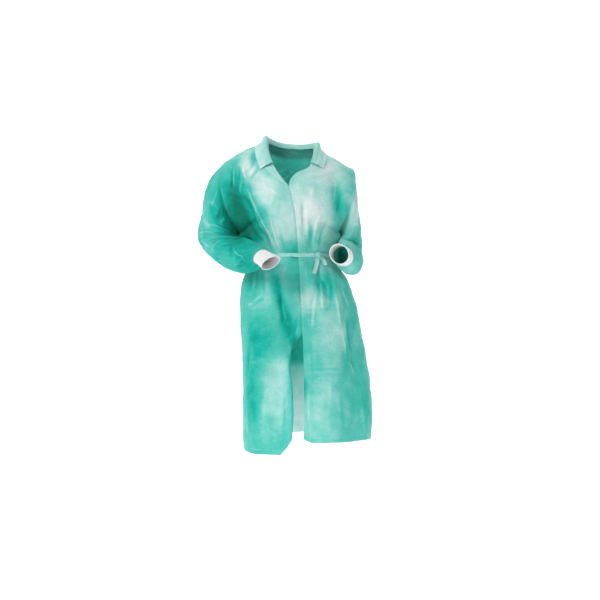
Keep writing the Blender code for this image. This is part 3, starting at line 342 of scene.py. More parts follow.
# Creases placed one by one: line from (x0, z0) to (x1, z1) seen from the front, how far it bows to its left,
# half width and height. A crease fades out at both ends
CREASE_COLUMNS = ("x0", "z0", "x1", "z1", "bow", "width", "height")
FRONT_CREASES = from_units(CREASE_UNITS, (
    # Right chest, from the armhole to the tie
    (-150, -118, -36, -356, 10, 3.4, 4.4), (-128, -205, -70, -312, 6, 4.5, 2.2),
    (-71, -228, -30, -354, 6, 3.4, 3.2),
    # From the right shoulder to the armhole, and on down the right chest
    (-157, -58, -143, -128, 3, 3.4, 3), (-171, -62, -170, -120, -3, 4.5, -3.4),
    (-184, -68, -186, -138, 3, 3.4, 3.2), (-196, -85, -196, -150, -2, 4, -3),
    (-160, -110, -166, -165, 2, 3.4, 2.6), (-163, -160, -118, -250, -6, 6, -2.6),
    (-152, -235, -88, -330, 8, 5.5, -2.8), (-98, -300, -60, -348, 4, 4, 1.8),
    (-40, -255, -16, -350, 4, 4.5, -2),
    # Below the collar's right point, and beside the neck's V
    (-102, -52, -135, -108, 6, 4.5, 1.8), (-118, -60, -168, -98, -4, 4.5, -1.6),
    (-104, -78, -134, -114, 2, 4.5, -3.6), (-60, -130, -72, -210, -6, 6, 1.2),
    (-30, -165, -38, -240, 4, 6, -1.2),
    # Beside the over front's edge, and on the left chest
    (39, -185, 41, -275, 2, 4, -2.6), (48, -200, 52, -320, -3, 4.5, 1.8),
    (75, -130, 66, -220, 5, 6, 1.2), (100, -215, 72, -345, 6, 5, 2),
    (122, -240, 88, -350, 6, 4.5, -2.2),
    # Left armhole's hollow
    (146, -105, 138, -200, -6, 5, 2), (165, -140, 150, -235, -4, 4.5, -2.2),
    (132, -85, 150, -125, 3, 4.5, 1.4),
    # Skirt, wearer's right hip
    (-146, -530, -92, -486, 4, 4.5, 2.2), (-138, -522, -80, -509, -3, 4, -1.8),
    (-120, -410, -128, -480, -4, 5, 2), (-90, -400, -82, -500, 4, 5.5, -2.4),
    # Trough towards the opening, and what lies beside it
    (-30, -505, -18, -582, 2, 3.8, 3.2), (-44, -470, -30, -600, -4, 6, -2.6),
    (-13, -628, 2, -742, -3, 4, 2.6), (2, -737, 10, -826, 2, 3.8, 1.8),
    (20, -560, 12, -660, 3, 5.5, -2.4), (-124, -640, -130, -760, 4, 5, -1.8),
    # Creases of its packing
    (-136, -712, -100, -711, 2, 3.6, 1.8), (55, -735, 165, -733, 0, 3.4, -2.2),
    (-90, -709, -30, -712, 0, 3.4, -1), (-150, -545, -70, -540, 0, 3.6, -1),
    (10, -538, 170, -541, 0, 3.6, -1.4),
    # From the knot down the left skirt, and on the lower skirt
    (85, -470, 69, -620, 4, 4.8, 2.4), (94, -430, 122, -500, -4, 4.5, -3),
    (108, -420, 102, -560, 5, 4.5, 2.6), (143, -475, 160, -615, 4, 4.2, 2.8),
    (159, -600, 180, -712, -3, 4.2, 2.2), (178, -700, 236, -790, -6, 4.5, 2),
    (132, -440, 126, -540, -3, 4.5, -2.6), (187, -545, 206, -700, 4, 6, -3),
    (202, -690, 232, -780, 4, 4.5, -2.2), (170, -450, 196, -540, 4, 4.5, 2.2),
    (60, -620, 72, -720, 3, 5, -1.4), (120, -760, 116, -900, -4, 7, 1.2),
    (160, -800, 176, -950, 5, 6, -1.8), (58, -790, 62, -930, 3, 5, 1.8),
    (235, -830, 250, -960, 4, 5, 1.8), (-75, -780, -82, -930, 4, 7, 1.2),
    (-22, -800, -28, -960, -3, 5, -1.8), (-140, -820, -132, -960, 3, 5.5, 1.4),
    (-135, -996, -88, -998, 0, 3.4, 1.8),
))
BACK_CREASES = from_units(CREASE_UNITS, (
    (-155, -120, -50, -345, -10, 4.5, 2.8), (150, -110, 52, -340, 10, 4.5, 2.8),
    (-120, -200, -78, -330, -6, 5, -2.6), (118, -190, 80, -320, 6, 5, -2.4),
    (-30, -80, -90, -150, 10, 6, 1.4), (34, -70, 100, -135, -10, 6, 1.4),
    (-12, -160, -20, -345, 5, 5, 2), (14, -220, 8, -350, 4, 4.5, -2.2),
    (44, -240, 36, -350, -3, 4.5, 2), (-60, -250, -44, -350, -4, 4.5, -2),
    (-100, -400, -118, -560, 6, 5, 2.6), (-60, -395, -52, -520, -4, 4.5, -2.6),
    (-34, -400, -30, -600, 4, 4.8, 2.6), (2, -395, 6, -540, -4, 4.5, -2.4),
    (22, -400, 34, -620, 4, 4.8, 2.4), (62, -400, 80, -570, 5, 4.5, -2.6),
    (104, -400, 134, -600, -6, 5, 2.4), (140, -410, 172, -540, 5, 4.8, -2.2),
    (-120, -600, -128, -820, 6, 6, -2), (-58, -640, -66, -900, -5, 6, 2),
    (-6, -660, -10, -930, 5, 5.5, -2.2), (56, -640, 74, -900, 6, 6, 2),
    (120, -640, 146, -860, -5, 5.5, -2.2), (190, -560, 220, -780, 6, 5.5, 2.2),
    (-150, -730, -30, -734, 0, 3.4, -1.8), (10, -732, 150, -729, 0, 3.4, 1.6),
    (-140, -542, -20, -538, 0, 3.4, 1.2), (30, -541, 190, -538, 0, 3.4, -1.4),
    (12, -120, 10, -220, 0, 3.4, 1),
))
# The same on the sleeves, in (along, turn) as the sleeves' large folds
SLEEVE_CREASES = from_units(SLEEVE_CREASE_UNITS, {
    "right": (
        (8, 95, 20, 60, 4, 4.5, 2.4), (12, 140, 24, 100, -4, 4.5, -2.4),
        (10, 40, 24, 20, 4, 4.5, 2), (22, 120, 34, 75, 4, 4.2, 2.6),
        (26, 60, 36, 5, -4, 4.2, 2.6), (30, 150, 38, 95, 3, 4.2, -2.6),
        (36, 110, 44, 40, 4, 4, 3), (40, 30, 45, -40, 3, 4.2, -2.6),
        (41, 170, 46, 80, -3, 3.8, 3), (45, 100, 50, 20, 3, 3.8, -2.8),
        (48, 60, 58, 75, 3, 3.6, 2.6), (50, 150, 56, 90, -3, 3.6, -2.6),
        (54, 130, 64, 60, 4, 3.8, 2.8), (56, 40, 62, -20, 3, 4, -2.4),
        (60, 100, 66, 140, 3, 3.6, 2.4), (66, 70, 76, 30, -3, 3.8, 2.4),
        (70, 130, 78, 90, 3, 3.6, -2.2), (74, 118, 90, 96, 2, 2.6, 4),
        (80, 50, 92, 100, 1, 2.4, 3.6), (83, 70, 95, 120, 1, 2.4, 3.4),
        (86, 110, 95, 60, -1, 2.4, 3.4), (62, 30, 72, 55, 2, 2.6, 3.8),
        (52, 15, 62, 50, -2, 2.6, 3.6), (4, 70, 16, 78, 2, 3, 3.6),
        (4, 95, 18, 100, -2, 3.4, -3.6), (5, 115, 20, 112, 2, 3, 3.4),
        (80, 60, 92, 55, -2, 3.4, -2), (14, 230, 30, 290, 4, 4.8, 2.6),
        (30, 210, 38, 300, -4, 4.5, -2.6), (38, 230, 40, 330, 4, 4.2, 3),
        (48, 200, 48, 300, -3, 4, 2.8), (56, 220, 54, 320, 3, 4, -2.4),
        (70, 220, 72, 300, 3, 3.8, 2.2), (82, 200, 90, 260, 2, 3.4, 1.8),
    ),
    "left": (
        (10, 60, 26, 95, 4, 4.5, 2.2), (14, 20, 28, 45, -4, 4.5, -2.2),
        (24, 110, 36, 80, 4, 4.2, 2.4), (30, 30, 42, 70, 4, 4.2, 2.4),
        (38, 140, 46, 90, -3, 4, -2.6), (44, 60, 52, 10, 3, 4, 2.8),
        (50, 170, 52, 80, 3, 3.6, -3), (54, 110, 60, 50, -3, 3.8, 2.8),
        (56, 165, 62, 90, 3, 2.8, 3.8), (62, 70, 68, 10, 3, 3.8, -2.4),
        (66, 150, 74, 100, -3, 3.6, 2.4), (72, 60, 80, 80, 3, 3.6, 2.2),
        (78, 140, 88, 110, 2, 3.4, -2), (84, 60, 94, 70, -2, 3.4, 2),
        (16, 230, 30, 300, 4, 4.8, 2.4), (32, 210, 38, 310, -4, 4.5, -2.6),
        (42, 220, 42, 320, 4, 4.2, 2.8), (54, 210, 50, 310, -3, 4, -2.6),
        (60, 220, 60, 310, 3, 4, 2.4), (76, 220, 80, 290, 3, 3.8, 2),
    ),
})
CREASE_SIDE = 2.6  # a crease's flanks dip over this many times its half width
CREASE_DIP = 0.35  # by this share of its height
CREASE_SHAPE = 1.5  # above 1 its crest is rounded, at 1 it is sharp
CREASE_END = 0.3  # share of its length over which it fades out at each end
CREASE_FACE = (0.02, 0.30)  # creases fade out towards the side seams, by the cosine of the turn
PANEL_TOP = (1.86, 2.0)  # and just below the shoulder seam, by level

PUCKERS = 44  # round each armhole
PUCKER_SHIFT = ((1.6, 3.0, 0.0), (0.9, 7.0, 1.0))  # uneven spacing: radians, waves round the hole and start
PUCKER_VARY = (0.35, 5.0, 0.7)  # uneven height: share, waves round the hole and start
PUCKER_HEIGHT = 0.0009
PUCKER_REACH = 0.013
PUCKER_SHAPE = 1.3
PUCKER_END = 0.05  # none further from the seam than this
PUCKER_START = (0.98, 1.06)  # levels between which a panel's puckers start
SEAM_RIDGE = 0.0011  # the armhole seam stands out by this much
SEAM_REACH = 0.0035
SEAM_PRESS = 0.5  # share of the puckers' height that the seam takes away
SEAM_PRESS_REACH = 0.003
ARMHOLE_EDGES = {"front_right": (("right", "last_m"),), "front_left": (("left", "last_m"),),
                 "back": (("right", "first_m"), ("left", "last_m"))}

UNDERARM_SWELL = 0.018  # the side seam's cloth bulges towards the sleeve below the armhole
UNDERARM_PLACE = -0.298  # height of the bulge
UNDERARM_REACH = 0.022  # above and below that height
UNDERARM_SPREAD = 0.22  # away from the seam, as a share of half a row

# Places where the thin cloth lies close and looks pale (above 0), or hangs free in shade and looks deep with
# painted shade (below 0)
TONE_COLUMNS = ("x", "z", "radius_x", "radius_z", "turn", "tone")
FRONT_TONES = from_units(TONE_UNITS, (
    (-48, -190, 56, 170, 20, 0.56), (-86, -115, 46, 66, 0, 0.34),
    (85, -165, 85, 150, 0, 0.54), (79, -222, 46, 52, 0, 0.15),
    (-146, -68, 28, 50, 0, 0.85), (135, -90, 40, 40, 0, 0.25),
    (-126, -46, 12, 26, 0, -0.6), (-168, -205, 46, 120, 8, -0.62),
    (-124, -296, 46, 42, 45, -0.46), (-74, -313, 14, 42, 20, -0.25),
    (156, -189, 20, 66, 4, -0.52), (-97, -222, 20, 26, 0, -0.4),
    (-71, -91, 13, 26, 0, -0.2), (-3, -339, 26, 26, 0, -0.4),
    (66, -281, 10, 29, 0, -0.35), (-110, -455, 50, 50, 0, -0.2),
    (-95, -540, 45, 50, 0, 0.12), (-10, -290, 50, 50, 0, 0.12),
    (-48, -470, 17, 80, 12, -0.6), (-16, -565, 19, 105, 12, -0.52),
    (23, -672, 20, 42, 0, -0.55), (-45, -819, 48, 130, 0, 0.58),
    (-122, -800, 28, 190, 0, -0.36), (-110, -640, 50, 80, 0, -0.2),
    (112, -457, 29, 42, 0, -0.4), (66, -502, 39, 46, 0, 0.3),
    (154, -509, 16, 33, 0, 0.3), (196, -625, 17, 110, -12, -0.42),
    (130, -665, 50, 110, 0, 0.4), (60, -500, 85, 36, 0, 0.24),
    (200, -427, 33, 26, 0, -0.35), (40, -796, 10, 33, 0, -0.7),
    (110, -860, 50, 80, 0, 0.15), (230, -880, 40, 90, 0, -0.2),
))
BACK_TONES = from_units(TONE_UNITS, (
    (-90, -120, 60, 90, 10, 0.4), (90, -120, 60, 90, -10, 0.4),
    (0, -240, 30, 100, 0, -0.25), (-150, -210, 30, 80, 0, -0.55),
    (150, -200, 30, 80, 0, -0.5), (0, -370, 120, 40, 0, -0.35),
    (-80, -500, 20, 100, 8, -0.4), (-30, -540, 40, 80, 0, 0.35),
    (55, -520, 20, 110, -8, -0.45), (110, -540, 45, 80, 0, 0.3),
    (-32, -850, 22, 120, 0, -0.45), (-90, -820, 45, 120, 0, 0.35),
    (40, -830, 45, 120, 0, 0.3), (115, -860, 22, 120, 0, -0.45),
    (190, -800, 50, 120, 0, 0.25),
))
# The back's inner side, which shows through the neck and between the fronts: tone at each height, with
# painted light low down and painted shade above it
BACK_INSIDE = ((-1.040, 0.80), (-0.900, 0.80), (-0.790, 0.65), (-0.745, 0.45), (-0.715, -0.40),
               (-0.500, -0.40), (-0.200, -0.20), (-0.050, -0.05), (0.020, 0.00))
# The same as above on the sleeves, by along and turn
SLEEVE_TONES = from_units(SLEEVE_TONE_UNITS, {
    "right": (
        (9, 55, 50, 40, 0, 0.48), (32, 75, 20, 16, 0, 0.35),
        (26, 60, 40, 30, 0, 0.25), (42, 45, 26, 22, 0, 0.2),
        (34, 150, 50, 40, 0, -0.35), (56, 70, 30, 24, 0, 0.22),
        (50, 20, 40, 30, 0, -0.25), (60, 140, 60, 30, 0, -0.3),
        (80, 90, 50, 30, 0, 0.15), (30, 270, 80, 50, 0, 0.2),
        (13, 128, 85, 66, 0, -0.34),
    ),
    "left": (
        (14, 75, 100, 75, 0, 0.42), (32, 40, 50, 30, 0, 0.15),
        (50, 120, 30, 40, 0, -0.4), (62, 70, 40, 30, 0, 0.18),
        (85, 90, 60, 60, 0, -0.32), (36, 270, 80, 50, 0, 0.2),
    ),
})
TONE_SHAPE = 1.4  # how flat a place's tone is before it ends
# Starting tone of each piece: the wearer's right sleeve starts much darker, with painted shade on the side
# away from the light
BASE_TONE = {"front_right": -0.12, "front_left": 0.04, "back": -0.04, "sleeve_right": -0.46,
             "sleeve_left": -0.04}
COLLAR_TONE = 0.34
LEAF_TONE = 0.32  # by which the collar's leaf gets paler towards its edge
BAND_TONE = 0.45
TIE_TONE = 0.35
TIE_END_TONE = 0.45
TONE_DRIFT = 0.28  # slow, uneven changes of tone over the whole cloth
DRIFT_COARSE = (9.0, 1.7)  # of these changes: how many in a metre and how strong
DRIFT_FINE = (30.0, 0.7)
DRIFT_OFFSET = (3.0, 1.0, 2.0)
DRIFT_STEP = 4  # read at every fourth point only
DRIFT_SOFTEN = 5
TONE_FOLD = 0.0026  # height of a crease at which its tone is as below
CREST_HIGHLIGHT = 0.60  # its crest is paler by this much, a painted highlight
TROUGH_SHADE = 0.35  # and a trough as deep is deeper by this much, painted shade
CREST_HIGHLIGHT_LIMIT = 1.6  # a higher crest's painted highlight goes on getting paler, up to this many times the one above
SHOULDER_FADE = 0.7  # share of the pale and deep places that is lost at the shoulder seam
EDGE_SHADOW = 0.9  # how much darker the under front's free edge is, a painted shadow along it
EDGE_SHADOW_REACH = 0.0045
EDGE_SHADOW_START = 0.25  # from the waist down, fully from this far below it

# Crumple of the papery cloth: size of its facets and height, coarse first
CRUMPLES = ((0.085, 0.0030), (0.038, 0.0015), (0.017, 0.0006))
CRUMPLE_SHARP = 0.8  # share of their height that has sharp crests
CRUMPLE_SPREAD = 2.0
CRUMPLE_OFFSET = (31.0, 17.0, 7.0)
CRUMPLE_CALM = (0.005, 0.016)  # from the waist, under the tie
CRUMPLE_SLEEVE = (0.03, 0.02)  # from the armhole and from the cuff

# The cloth's material, in metres, or in waves for each metre where the name says scale. Each noise has its
# scale, detail, distortion and roughness
FIBRE_SCALE = (900.0, 330.0, 1.0)
FIBRE_NOISE = (1.0, 3.0, 0.8, 0.6)
CLOUD_NOISE = (160.0, 3.0, 0.4)
PATCH_NOISE = (30.0, 4.0, 0.15, 0.55)
BOND_SPACING = 0.0026
BOND_SIZE = (0.00035, 0.00060)
WARP_SCALE = 22.0
WARP = 0.018
WRINKLE_SCALE = 42.0
WRINKLE_WIDTH = 0.22
SMALL_SCALE = 118.0
SMALL_WIDTH = 0.25
MOTTLE = 0.30  # the patches change the tone by this much
CLOUD_TONE = 0.16
FIBRE_TONE = 0.10
BOND_TONE = 0.03
WRINKLE_HEIGHT = 0.00040
SMALL_HEIGHT = 0.00010
FIBRE_HEIGHT = 0.00006
BOND_HEIGHT = 0.00008
CLOUD_HEIGHT = 0.00012
CLOTH_ROUGH = 0.58
FIBRE_ROUGH = 0.16
BOND_ROUGH = 0.08
CLOTH_SHEEN = 0.03
TONE_STOPS = {"deep": 0.0, "rich": 0.25, "mid": 0.5, "pale": 0.75, "palest": 1.0}
SPECULAR = 0.12
BUMP_STRENGTH = 0.9
LIGHT_THROUGH = 0.5  # share of the light that goes on through the thin cloth
LIGHT_REACH = 0.003
LIGHT_TINT = (0.6, 1.0, 0.95)

# Stitching: length of a stitch, gap between two, half width of the thread, its height and how much it shows
BODY_STITCH = (0.0034, 0.0012, 0.0007, 0.00030, 0.35)
TRIM_STITCH = (0.0030, 0.0010, 0.0006, 0.00030, 0.40)
STITCH_SOFT = 0.4  # a stitch has faded out at this share of the gap from the gap's middle
GROOVE_HALF = 0.0022  # of the groove that a body's stitching is pressed into
GROOVE_DEPTH = 0.00035
GROOVE_TONE = 0.05

# The knit, in metres
KNIT_COLUMN = 0.0016
KNIT_STITCH = 0.0013
KNIT_SLANT = 0.9
KNIT_LOOP = 0.00065
KNIT_VALLEY = (0.00045, 0.0008)
FUZZ_SCALE = 1400.0
RIB_SHADE = 0.40  # share of the valleys' colour between two ribs, painted shade in the valleys
VALLEY_SHADE = 0.25  # painted shade between two columns of stitches
FUZZ_SHADE = 0.25
LOOP_HEIGHT = 0.00022
VALLEY_DEPTH = 0.00026
FUZZ_HEIGHT = 0.00010
KNIT_ROUGH = 0.86
FUZZ_ROUGH = 0.1
KNIT_SHEEN = (0.25, 0.6)

# Camera: level, in front of the gown
CAMERA_X = 0.030
CAMERA_Y = -4.6
CAMERA_Z = -0.509
PIXEL = 0.00335  # metres that a pixel of the 600 x 600 picture spans at Y = 0
PICTURE = 600.0  # pixels across
SENSOR = 36.0  # millimetres

# Floor and backdrop: the floor is flat up to FLOOR_BACK and then bends up
FLOOR_Z = -1.45
FLOOR_BACK = 2.2
FLOOR_REACH = 9.0  # to both sides and to the front
FLOOR_BEND = 1.5
BEND_STEP = 7.5  # degrees
BACKDROP_TOP = 6.0
FLOOR_TINT = (0.85, 0.86, 0.86, 1.0)
SPECKLE_SCALE = 3.0
SPECKLE = 0.04
FLOOR_ROUGH = 0.9
FLOOR_GLOW = 0.42

# Lamps: place, size in metres and watts
LAMPS = {
    "key": ((-2.3, -2.8, 1.7), 1.6, 100.0),
    "fill": ((2.6, -3.0, 0.5), 2.4, 26.0),
    "top": ((0.2, 1.4, 2.2), 2.0, 30.0),
}
LAMP_AIM = (0.03, 0.0, -0.5)
WORLD_LIGHT = 0.45

PANELS = ("front_right", "front_left", "back")
OUTWARD = {"front_right": -1.0, "back": -1.0, "sleeve_right": -1.0}  # the way in which a grid's normals face


def named(table, columns):
    """A table's columns by name."""
    return {name: np.array([row[i] for row in table]) for i, name in enumerate(columns)}


def unit(vectors):
    """The same directions at length 1."""
    return vectors / np.maximum(np.linalg.norm(vectors, axis=-1, keepdims=True), 1e-12)


def ease(start, end, value):
    """0 before start, 1 after end, and a soft step between them."""
    t = np.clip((np.asarray(value, float) - start) / (end - start), 0.0, 1.0)
    return t * t * (3.0 - 2.0 * t)


def curve(keys, values, at):
    """A smooth curve through the values, read at any place along the keys."""
    slopes = np.gradient(values, keys)
    at = np.clip(at, keys[0], keys[-1])
    i = np.clip(np.searchsorted(keys, at) - 1, 0, len(keys) - 2)
    span = keys[i + 1] - keys[i]
    t = (at - keys[i]) / span
    a = (1 + 2 * t) * (1 - t) ** 2 * values[i] + t * (1 - t) ** 2 * span * slopes[i]
    b = t * t * (3 - 2 * t) * values[i + 1] + t * t * (t - 1) * span * slopes[i + 1]
    return a + b


SECTION = named(SECTIONS, SECTION_COLUMNS)
UNDER = named(UNDER_EDGE, EDGE_COLUMNS)
OVER = named(OVER_EDGE, EDGE_COLUMNS)


def body_row(level, side):
    """The form of one row on one side: level 0 is the hem, 1 the underarm, 2 the shoulder seam."""
    hole = ARMHOLES["right" if side < 0 else "left"]
    level = np.asarray(level, float)
    low = HEM + (UNDERARM - HEM) * np.clip(level, 0.0, 1.0)
    turn = np.pi * np.clip(level - 1.0, 0.0, 1.0)
    up = (1.0 - np.cos(turn)) / 2.0
    chest = curve(SECTION["z"], SECTION["front"], low) - SEAM_Y
    back = curve(SECTION["z"], SECTION["back"], low) - SEAM_Y
    skirt_x = curve(SECTION["z"], SECTION["right" if side < 0 else "left"], low)
    armhole_x = hole["under_x"] + (hole["tip_x"] - hole["under_x"]) * up
    square = curve(SECTION["z"], SECTION["square"], low)
    near = ease(SIDE_EASE[0], SIDE_EASE[1], level)
    outer_x = np.where(level > 1.0, armhole_x, skirt_x + (hole["under_x"] - skirt_x) * near)
    outer_z = np.where(level > 1.0, hole["under_z"] + (hole["tip_z"] - hole["under_z"]) * up,
                       low + (hole["under_z"] - UNDERARM) * near)
    return {
        "middle_z": low + (SHOULDER_TOP - UNDERARM) * up,
        "middle_x": curve(SECTION["z"], SECTION["middle"], low),
        "front": chest * (1.0 - up ** CHEST_ROUNDING) ** (1.0 / CHEST_ROUNDING),
        "back": back * (1.0 - up ** BACK_ROUNDING) ** (1.0 / BACK_ROUNDING),
        "outer_x": outer_x,
        "bulge": hole["bulge"] * np.sin(turn) ** ARMHOLE_ONSET,
        "outer_z": outer_z,
        "outer_depth": hole["half_depth"] * np.sin(turn) ** DEPTH_ONSET,
        "bow": np.radians(BOW_SIDE + (BOW_SHOULDER - BOW_SIDE) * up),
        "slope": hole["slope"],
        "square": square + (1.0 - square) * ease(1.0, SQUARE_END, level),
    }


def row_point(row, share, face):
    """Points of a row on one side, at any share of the way from the body's middle to its outer seam."""
    bow = row["bow"] * share
    across = np.sin(bow) / np.sin(row["bow"])
    end = np.maximum(np.cos(row["bow"]), 0.0) ** row["square"]
    turned = (1.0 - np.maximum(np.cos(bow), 0.0) ** row["square"]) / (1.0 - end)
    middle = row["front"] if face < 0 else row["back"]
    outer = face * row["outer_depth"]
    reach = np.abs(across)
    x = row["middle_x"] + (row["outer_x"] - row["middle_x"]) * across + row["bulge"] * reach ** BULGE_POWER
    y = SEAM_Y + middle + (outer - middle) * turned
    z = row["middle_z"] + (row["outer_z"] - row["middle_z"]) * reach ** row["slope"] * (share >= 0.0)
    return np.stack((x, y, z), axis=-1)


def body_point(level, share, face, side):
    """Points of the body. share runs from -1 at the right seam to 1 at the left, face is -1 in front."""
    level, share, side = np.broadcast_arrays(level, share, side)
    right = row_point(body_row(level, -1), -share, face)
    left = row_point(body_row(level, 1), share, face)
    return np.where((side < 0)[..., None], right, left)


def share_at(level, x, side):
    """Where a row of the body meets a given X, on the wearer's right (side -1) or left."""
    row = body_row(level, side)
    across = (x - row["middle_x"]) / np.abs(row["outer_x"] - row["middle_x"])
    sine = np.clip(np.abs(across) * np.sin(row["bow"]), 0.0, 0.999)
    return np.sign(across) * np.arcsin(sine) / row["bow"]


def body_levels():
    """The levels of the panels' rows, from the hem to the shoulder seam."""
    skirt = np.linspace(0.0, 1.0, SKIRT_ROWS + 1)
    return np.concatenate((skirt, 1.0 + np.arange(1, CHEST_ROWS + 1) / CHEST_ROWS))


def shoulder_share(side):
    """Where the shoulder seam ends at the neck."""
    return float(share_at(2.0, side * NECK_X, side))


def front_shares(side):
    """Shares of a front's columns on each row, from its edge to its outer seam."""
    levels = body_levels()
    edge = UNDER if side < 0 else OVER
    heights = body_row(levels, side)["middle_z"]
    shares = share_at(levels, curve(edge["z"], edge["x"], heights), side)
    shares[-1] = shoulder_share(side)
    steps = np.linspace(0.0, 1.0, FRONT_COLUMNS + 1)
    return shares[:, None] + (side - shares[:, None]) * steps


def back_shares():
    """Shares of the back's columns: the outer ones match the fronts' along the shoulder seams."""
    steps = np.linspace(0.0, 1.0, FRONT_COLUMNS + 1)
    right, left = shoulder_share(-1), shoulder_share(1)
    middle = np.linspace(right, left, NECK_COLUMNS + 1)[1:-1]
    return np.concatenate((-1.0 + (right + 1.0) * steps, middle, (1.0 + (left - 1.0) * steps)[::-1]))


def back_levels(shares):
    """Levels of the back's rows, which dip to the neck's back edge between the shoulder seams."""
    levels = body_levels()[:, None]
    limit = np.where(shares < 0.0, shoulder_share(-1), shoulder_share(1))
    inside = np.clip(1.0 - (shares / limit) ** 2, 0.0, 1.0)
    dip = NECK_DIP / 180.0 * inside ** NECK_DIP_SHAPE
    return np.where(levels > 1.0, 1.0 + (levels - 1.0) * (1.0 - dip), levels)


def turn_round(share, face):
    """Where a point is round the body: 0 in front, -1 and 1 at the side seams, -2 and 2 behind."""
    return share if face < 0 else np.sign(share) * (2.0 - np.abs(share))


def hem_drop(share, face, side, z):
    """How far a point hangs below its level, near the hem."""
    table = named(HEM_RIGHT if side < 0 else HEM_LEFT, HEM_COLUMNS)
    turn = turn_round(share, face)
    drop = np.interp(turn, table["turn"], table["drop"])
    return drop * (1.0 - ease(HEM_FADE[0], HEM_FADE[1], z))


def line_distance(x, z, fold):
    """How far each point is from a fold's line."""
    dx, dz = fold["x1"] - fold["x0"], fold["z1"] - fold["z0"]
    along = ((x - fold["x0"]) * dx + (z - fold["z0"]) * dz) / (dx * dx + dz * dz)
    along = np.clip(along, 0.0, 1.0)
    return np.hypot(x - fold["x0"] - along * dx, z - fold["z0"] - along * dz)


def folds_height(x, z, table, columns):
    """The height that a table of folds adds at each place."""
    total = np.zeros(np.broadcast(x, z).shape)
    for row in table:
        fold = dict(zip(columns, row))
        total += fold["height"] * np.exp(-(line_distance(x, z, fold) / fold["width"]) ** 2)
    return total


def creases_height(x, z, table):
    """The height that a table of creases adds: a crest with dipped flanks that fades at both ends."""
    total = np.zeros(np.broadcast(x, z).shape)
    for row in table:
        crease = dict(zip(CREASE_COLUMNS, row))
        dx, dz = crease["x1"] - crease["x0"], crease["z1"] - crease["z0"]
        length = math.hypot(dx, dz)
        along = ((x - crease["x0"]) * dx + (z - crease["z0"]) * dz) / length ** 2
        off = ((x - crease["x0"]) * dz - (z - crease["z0"]) * dx) / length
        inside = np.clip(along, 0.0, 1.0)
        away = np.abs(off - crease["bow"] * 4.0 * inside * (1.0 - inside)) / crease["width"]
        fade = ease(0.0, CREASE_END, along) * (1.0 - ease(1.0 - CREASE_END, 1.0, along))
        crest = np.exp(-away ** CREASE_SHAPE) - CREASE_DIP * np.exp(-(away / CREASE_SIDE) ** 2)
        total += crease["height"] * fade * crest
    return total


def gathers_height(points, share, face):
    """Uneven gathers round the waist, calm under the tie itself."""
    turn = turn_round(share, face)
    off = np.abs(points[..., 2] - WAIST)
    reach = ease(GATHER_CALM, 2.0 * GATHER_CALM, off) * (1.0 - ease(GATHER_REACH / 3.0, GATHER_REACH, off))
    total = np.zeros(off.shape)
    for k in range(GATHERS):
        place = -2.0 + 4.0 * (k + 0.5 + GATHER_SHIFT * np.sin(GATHER_SHIFT_STEP * k)) / GATHERS
        away = np.abs(turn - place)
        away = np.minimum(away, 4.0 - away)
        height = GATHER_HEIGHT * (1.0 - GATHER_VARY * (1.0 - np.sin(GATHER_VARY_STEP * k)))
        total += height * np.exp(-(away / GATHER_WIDTH) ** 2)
    return total * reach


def relief(points, level, share, face):
    """The height of all large folds and gathers of the body at each point."""
    table = FRONT_FOLDS if face < 0 else BACK_FOLDS
    inside = ease(FOLD_FACE[0], FOLD_FACE[1], np.cos(np.abs(share) * np.pi / 2.0))
    inside = inside * (1.0 - ease(FOLD_TOP[0], FOLD_TOP[1], level))
    calm = ease(FOLD_CALM, GATHER_CALM, np.abs(points[..., 2] - WAIST))
    folds = folds_height(points[..., 0], points[..., 2], table, FOLD_COLUMNS)
    return folds * inside * calm + gathers_height(points, share, face)


def overlap_drop(points):
    """How far inside the over front the under front lies."""
    edge = curve(OVER["z"], OVER["x"], points[..., 2])
    near = ease(OVERLAP_EASE[0], OVERLAP_EASE[1], points[..., 0] - edge)
    return OVERLAP_DROP * near * ease(OVERLAP_END[0], OVERLAP_END[1], points[..., 2])


def grid_normals(grids):
    """Normals at each grid's points, shared where grids meet, so that walls meet in a mitre."""
    places, sums, sizes = [], [], []
    for name, (grid, closed) in grids.items():
        wide = np.concatenate((grid, grid[:, :1]), axis=1) if closed else grid
        a, b = wide[:-1, :-1], wide[:-1, 1:]
        c, d = wide[1:, 1:], wide[1:, :-1]
        faces = OUTWARD.get(name, 1.0) * np.cross(c - a, d - b)
        total = np.zeros(wide.shape)
        total[:-1, :-1] += faces
        total[:-1, 1:] += faces
        total[1:, 1:] += faces
        total[1:, :-1] += faces
        if closed:
            total[:, 0] += total[:, -1]
            total = total[:, :-1]
        places.append(np.round(grid.reshape(-1, 3) * 20000.0).astype(np.int64))
        sums.append(total.reshape(-1, 3))
        sizes.append(grid.shape)
    keys, group = np.unique(np.concatenate(places), axis=0, return_inverse=True)
    group = group.ravel()
    shared = np.zeros((len(keys), 3))
    np.add.at(shared, group, np.concatenate(sums))
    field = unit(shared)[group]
    normals, start = {}, 0
    for name, shape in zip(grids, sizes):
        count = shape[0] * shape[1]
        normals[name] = field[start:start + count].reshape(shape)
        start += count
    return normals


def finer(values, axis, closed=False):
    """Twice as fine a grid along one axis, smoothly through the points it has."""
    values = np.moveaxis(values, axis, 0)
    if closed:
        line = np.concatenate((values[-1:], values, values[:2]))
    else:
        line = np.concatenate((2.0 * values[:1] - values[1:2], values, 2.0 * values[-1:] - values[-2:-1]))
    middle = (9.0 * (line[1:-2] + line[2:-1]) - line[:-3] - line[3:]) / 16.0
    fine = np.empty((len(values) + len(middle),) + values.shape[1:])
    fine[0::2] = values
    fine[1::2] = middle
    return np.moveaxis(fine, 0, axis)


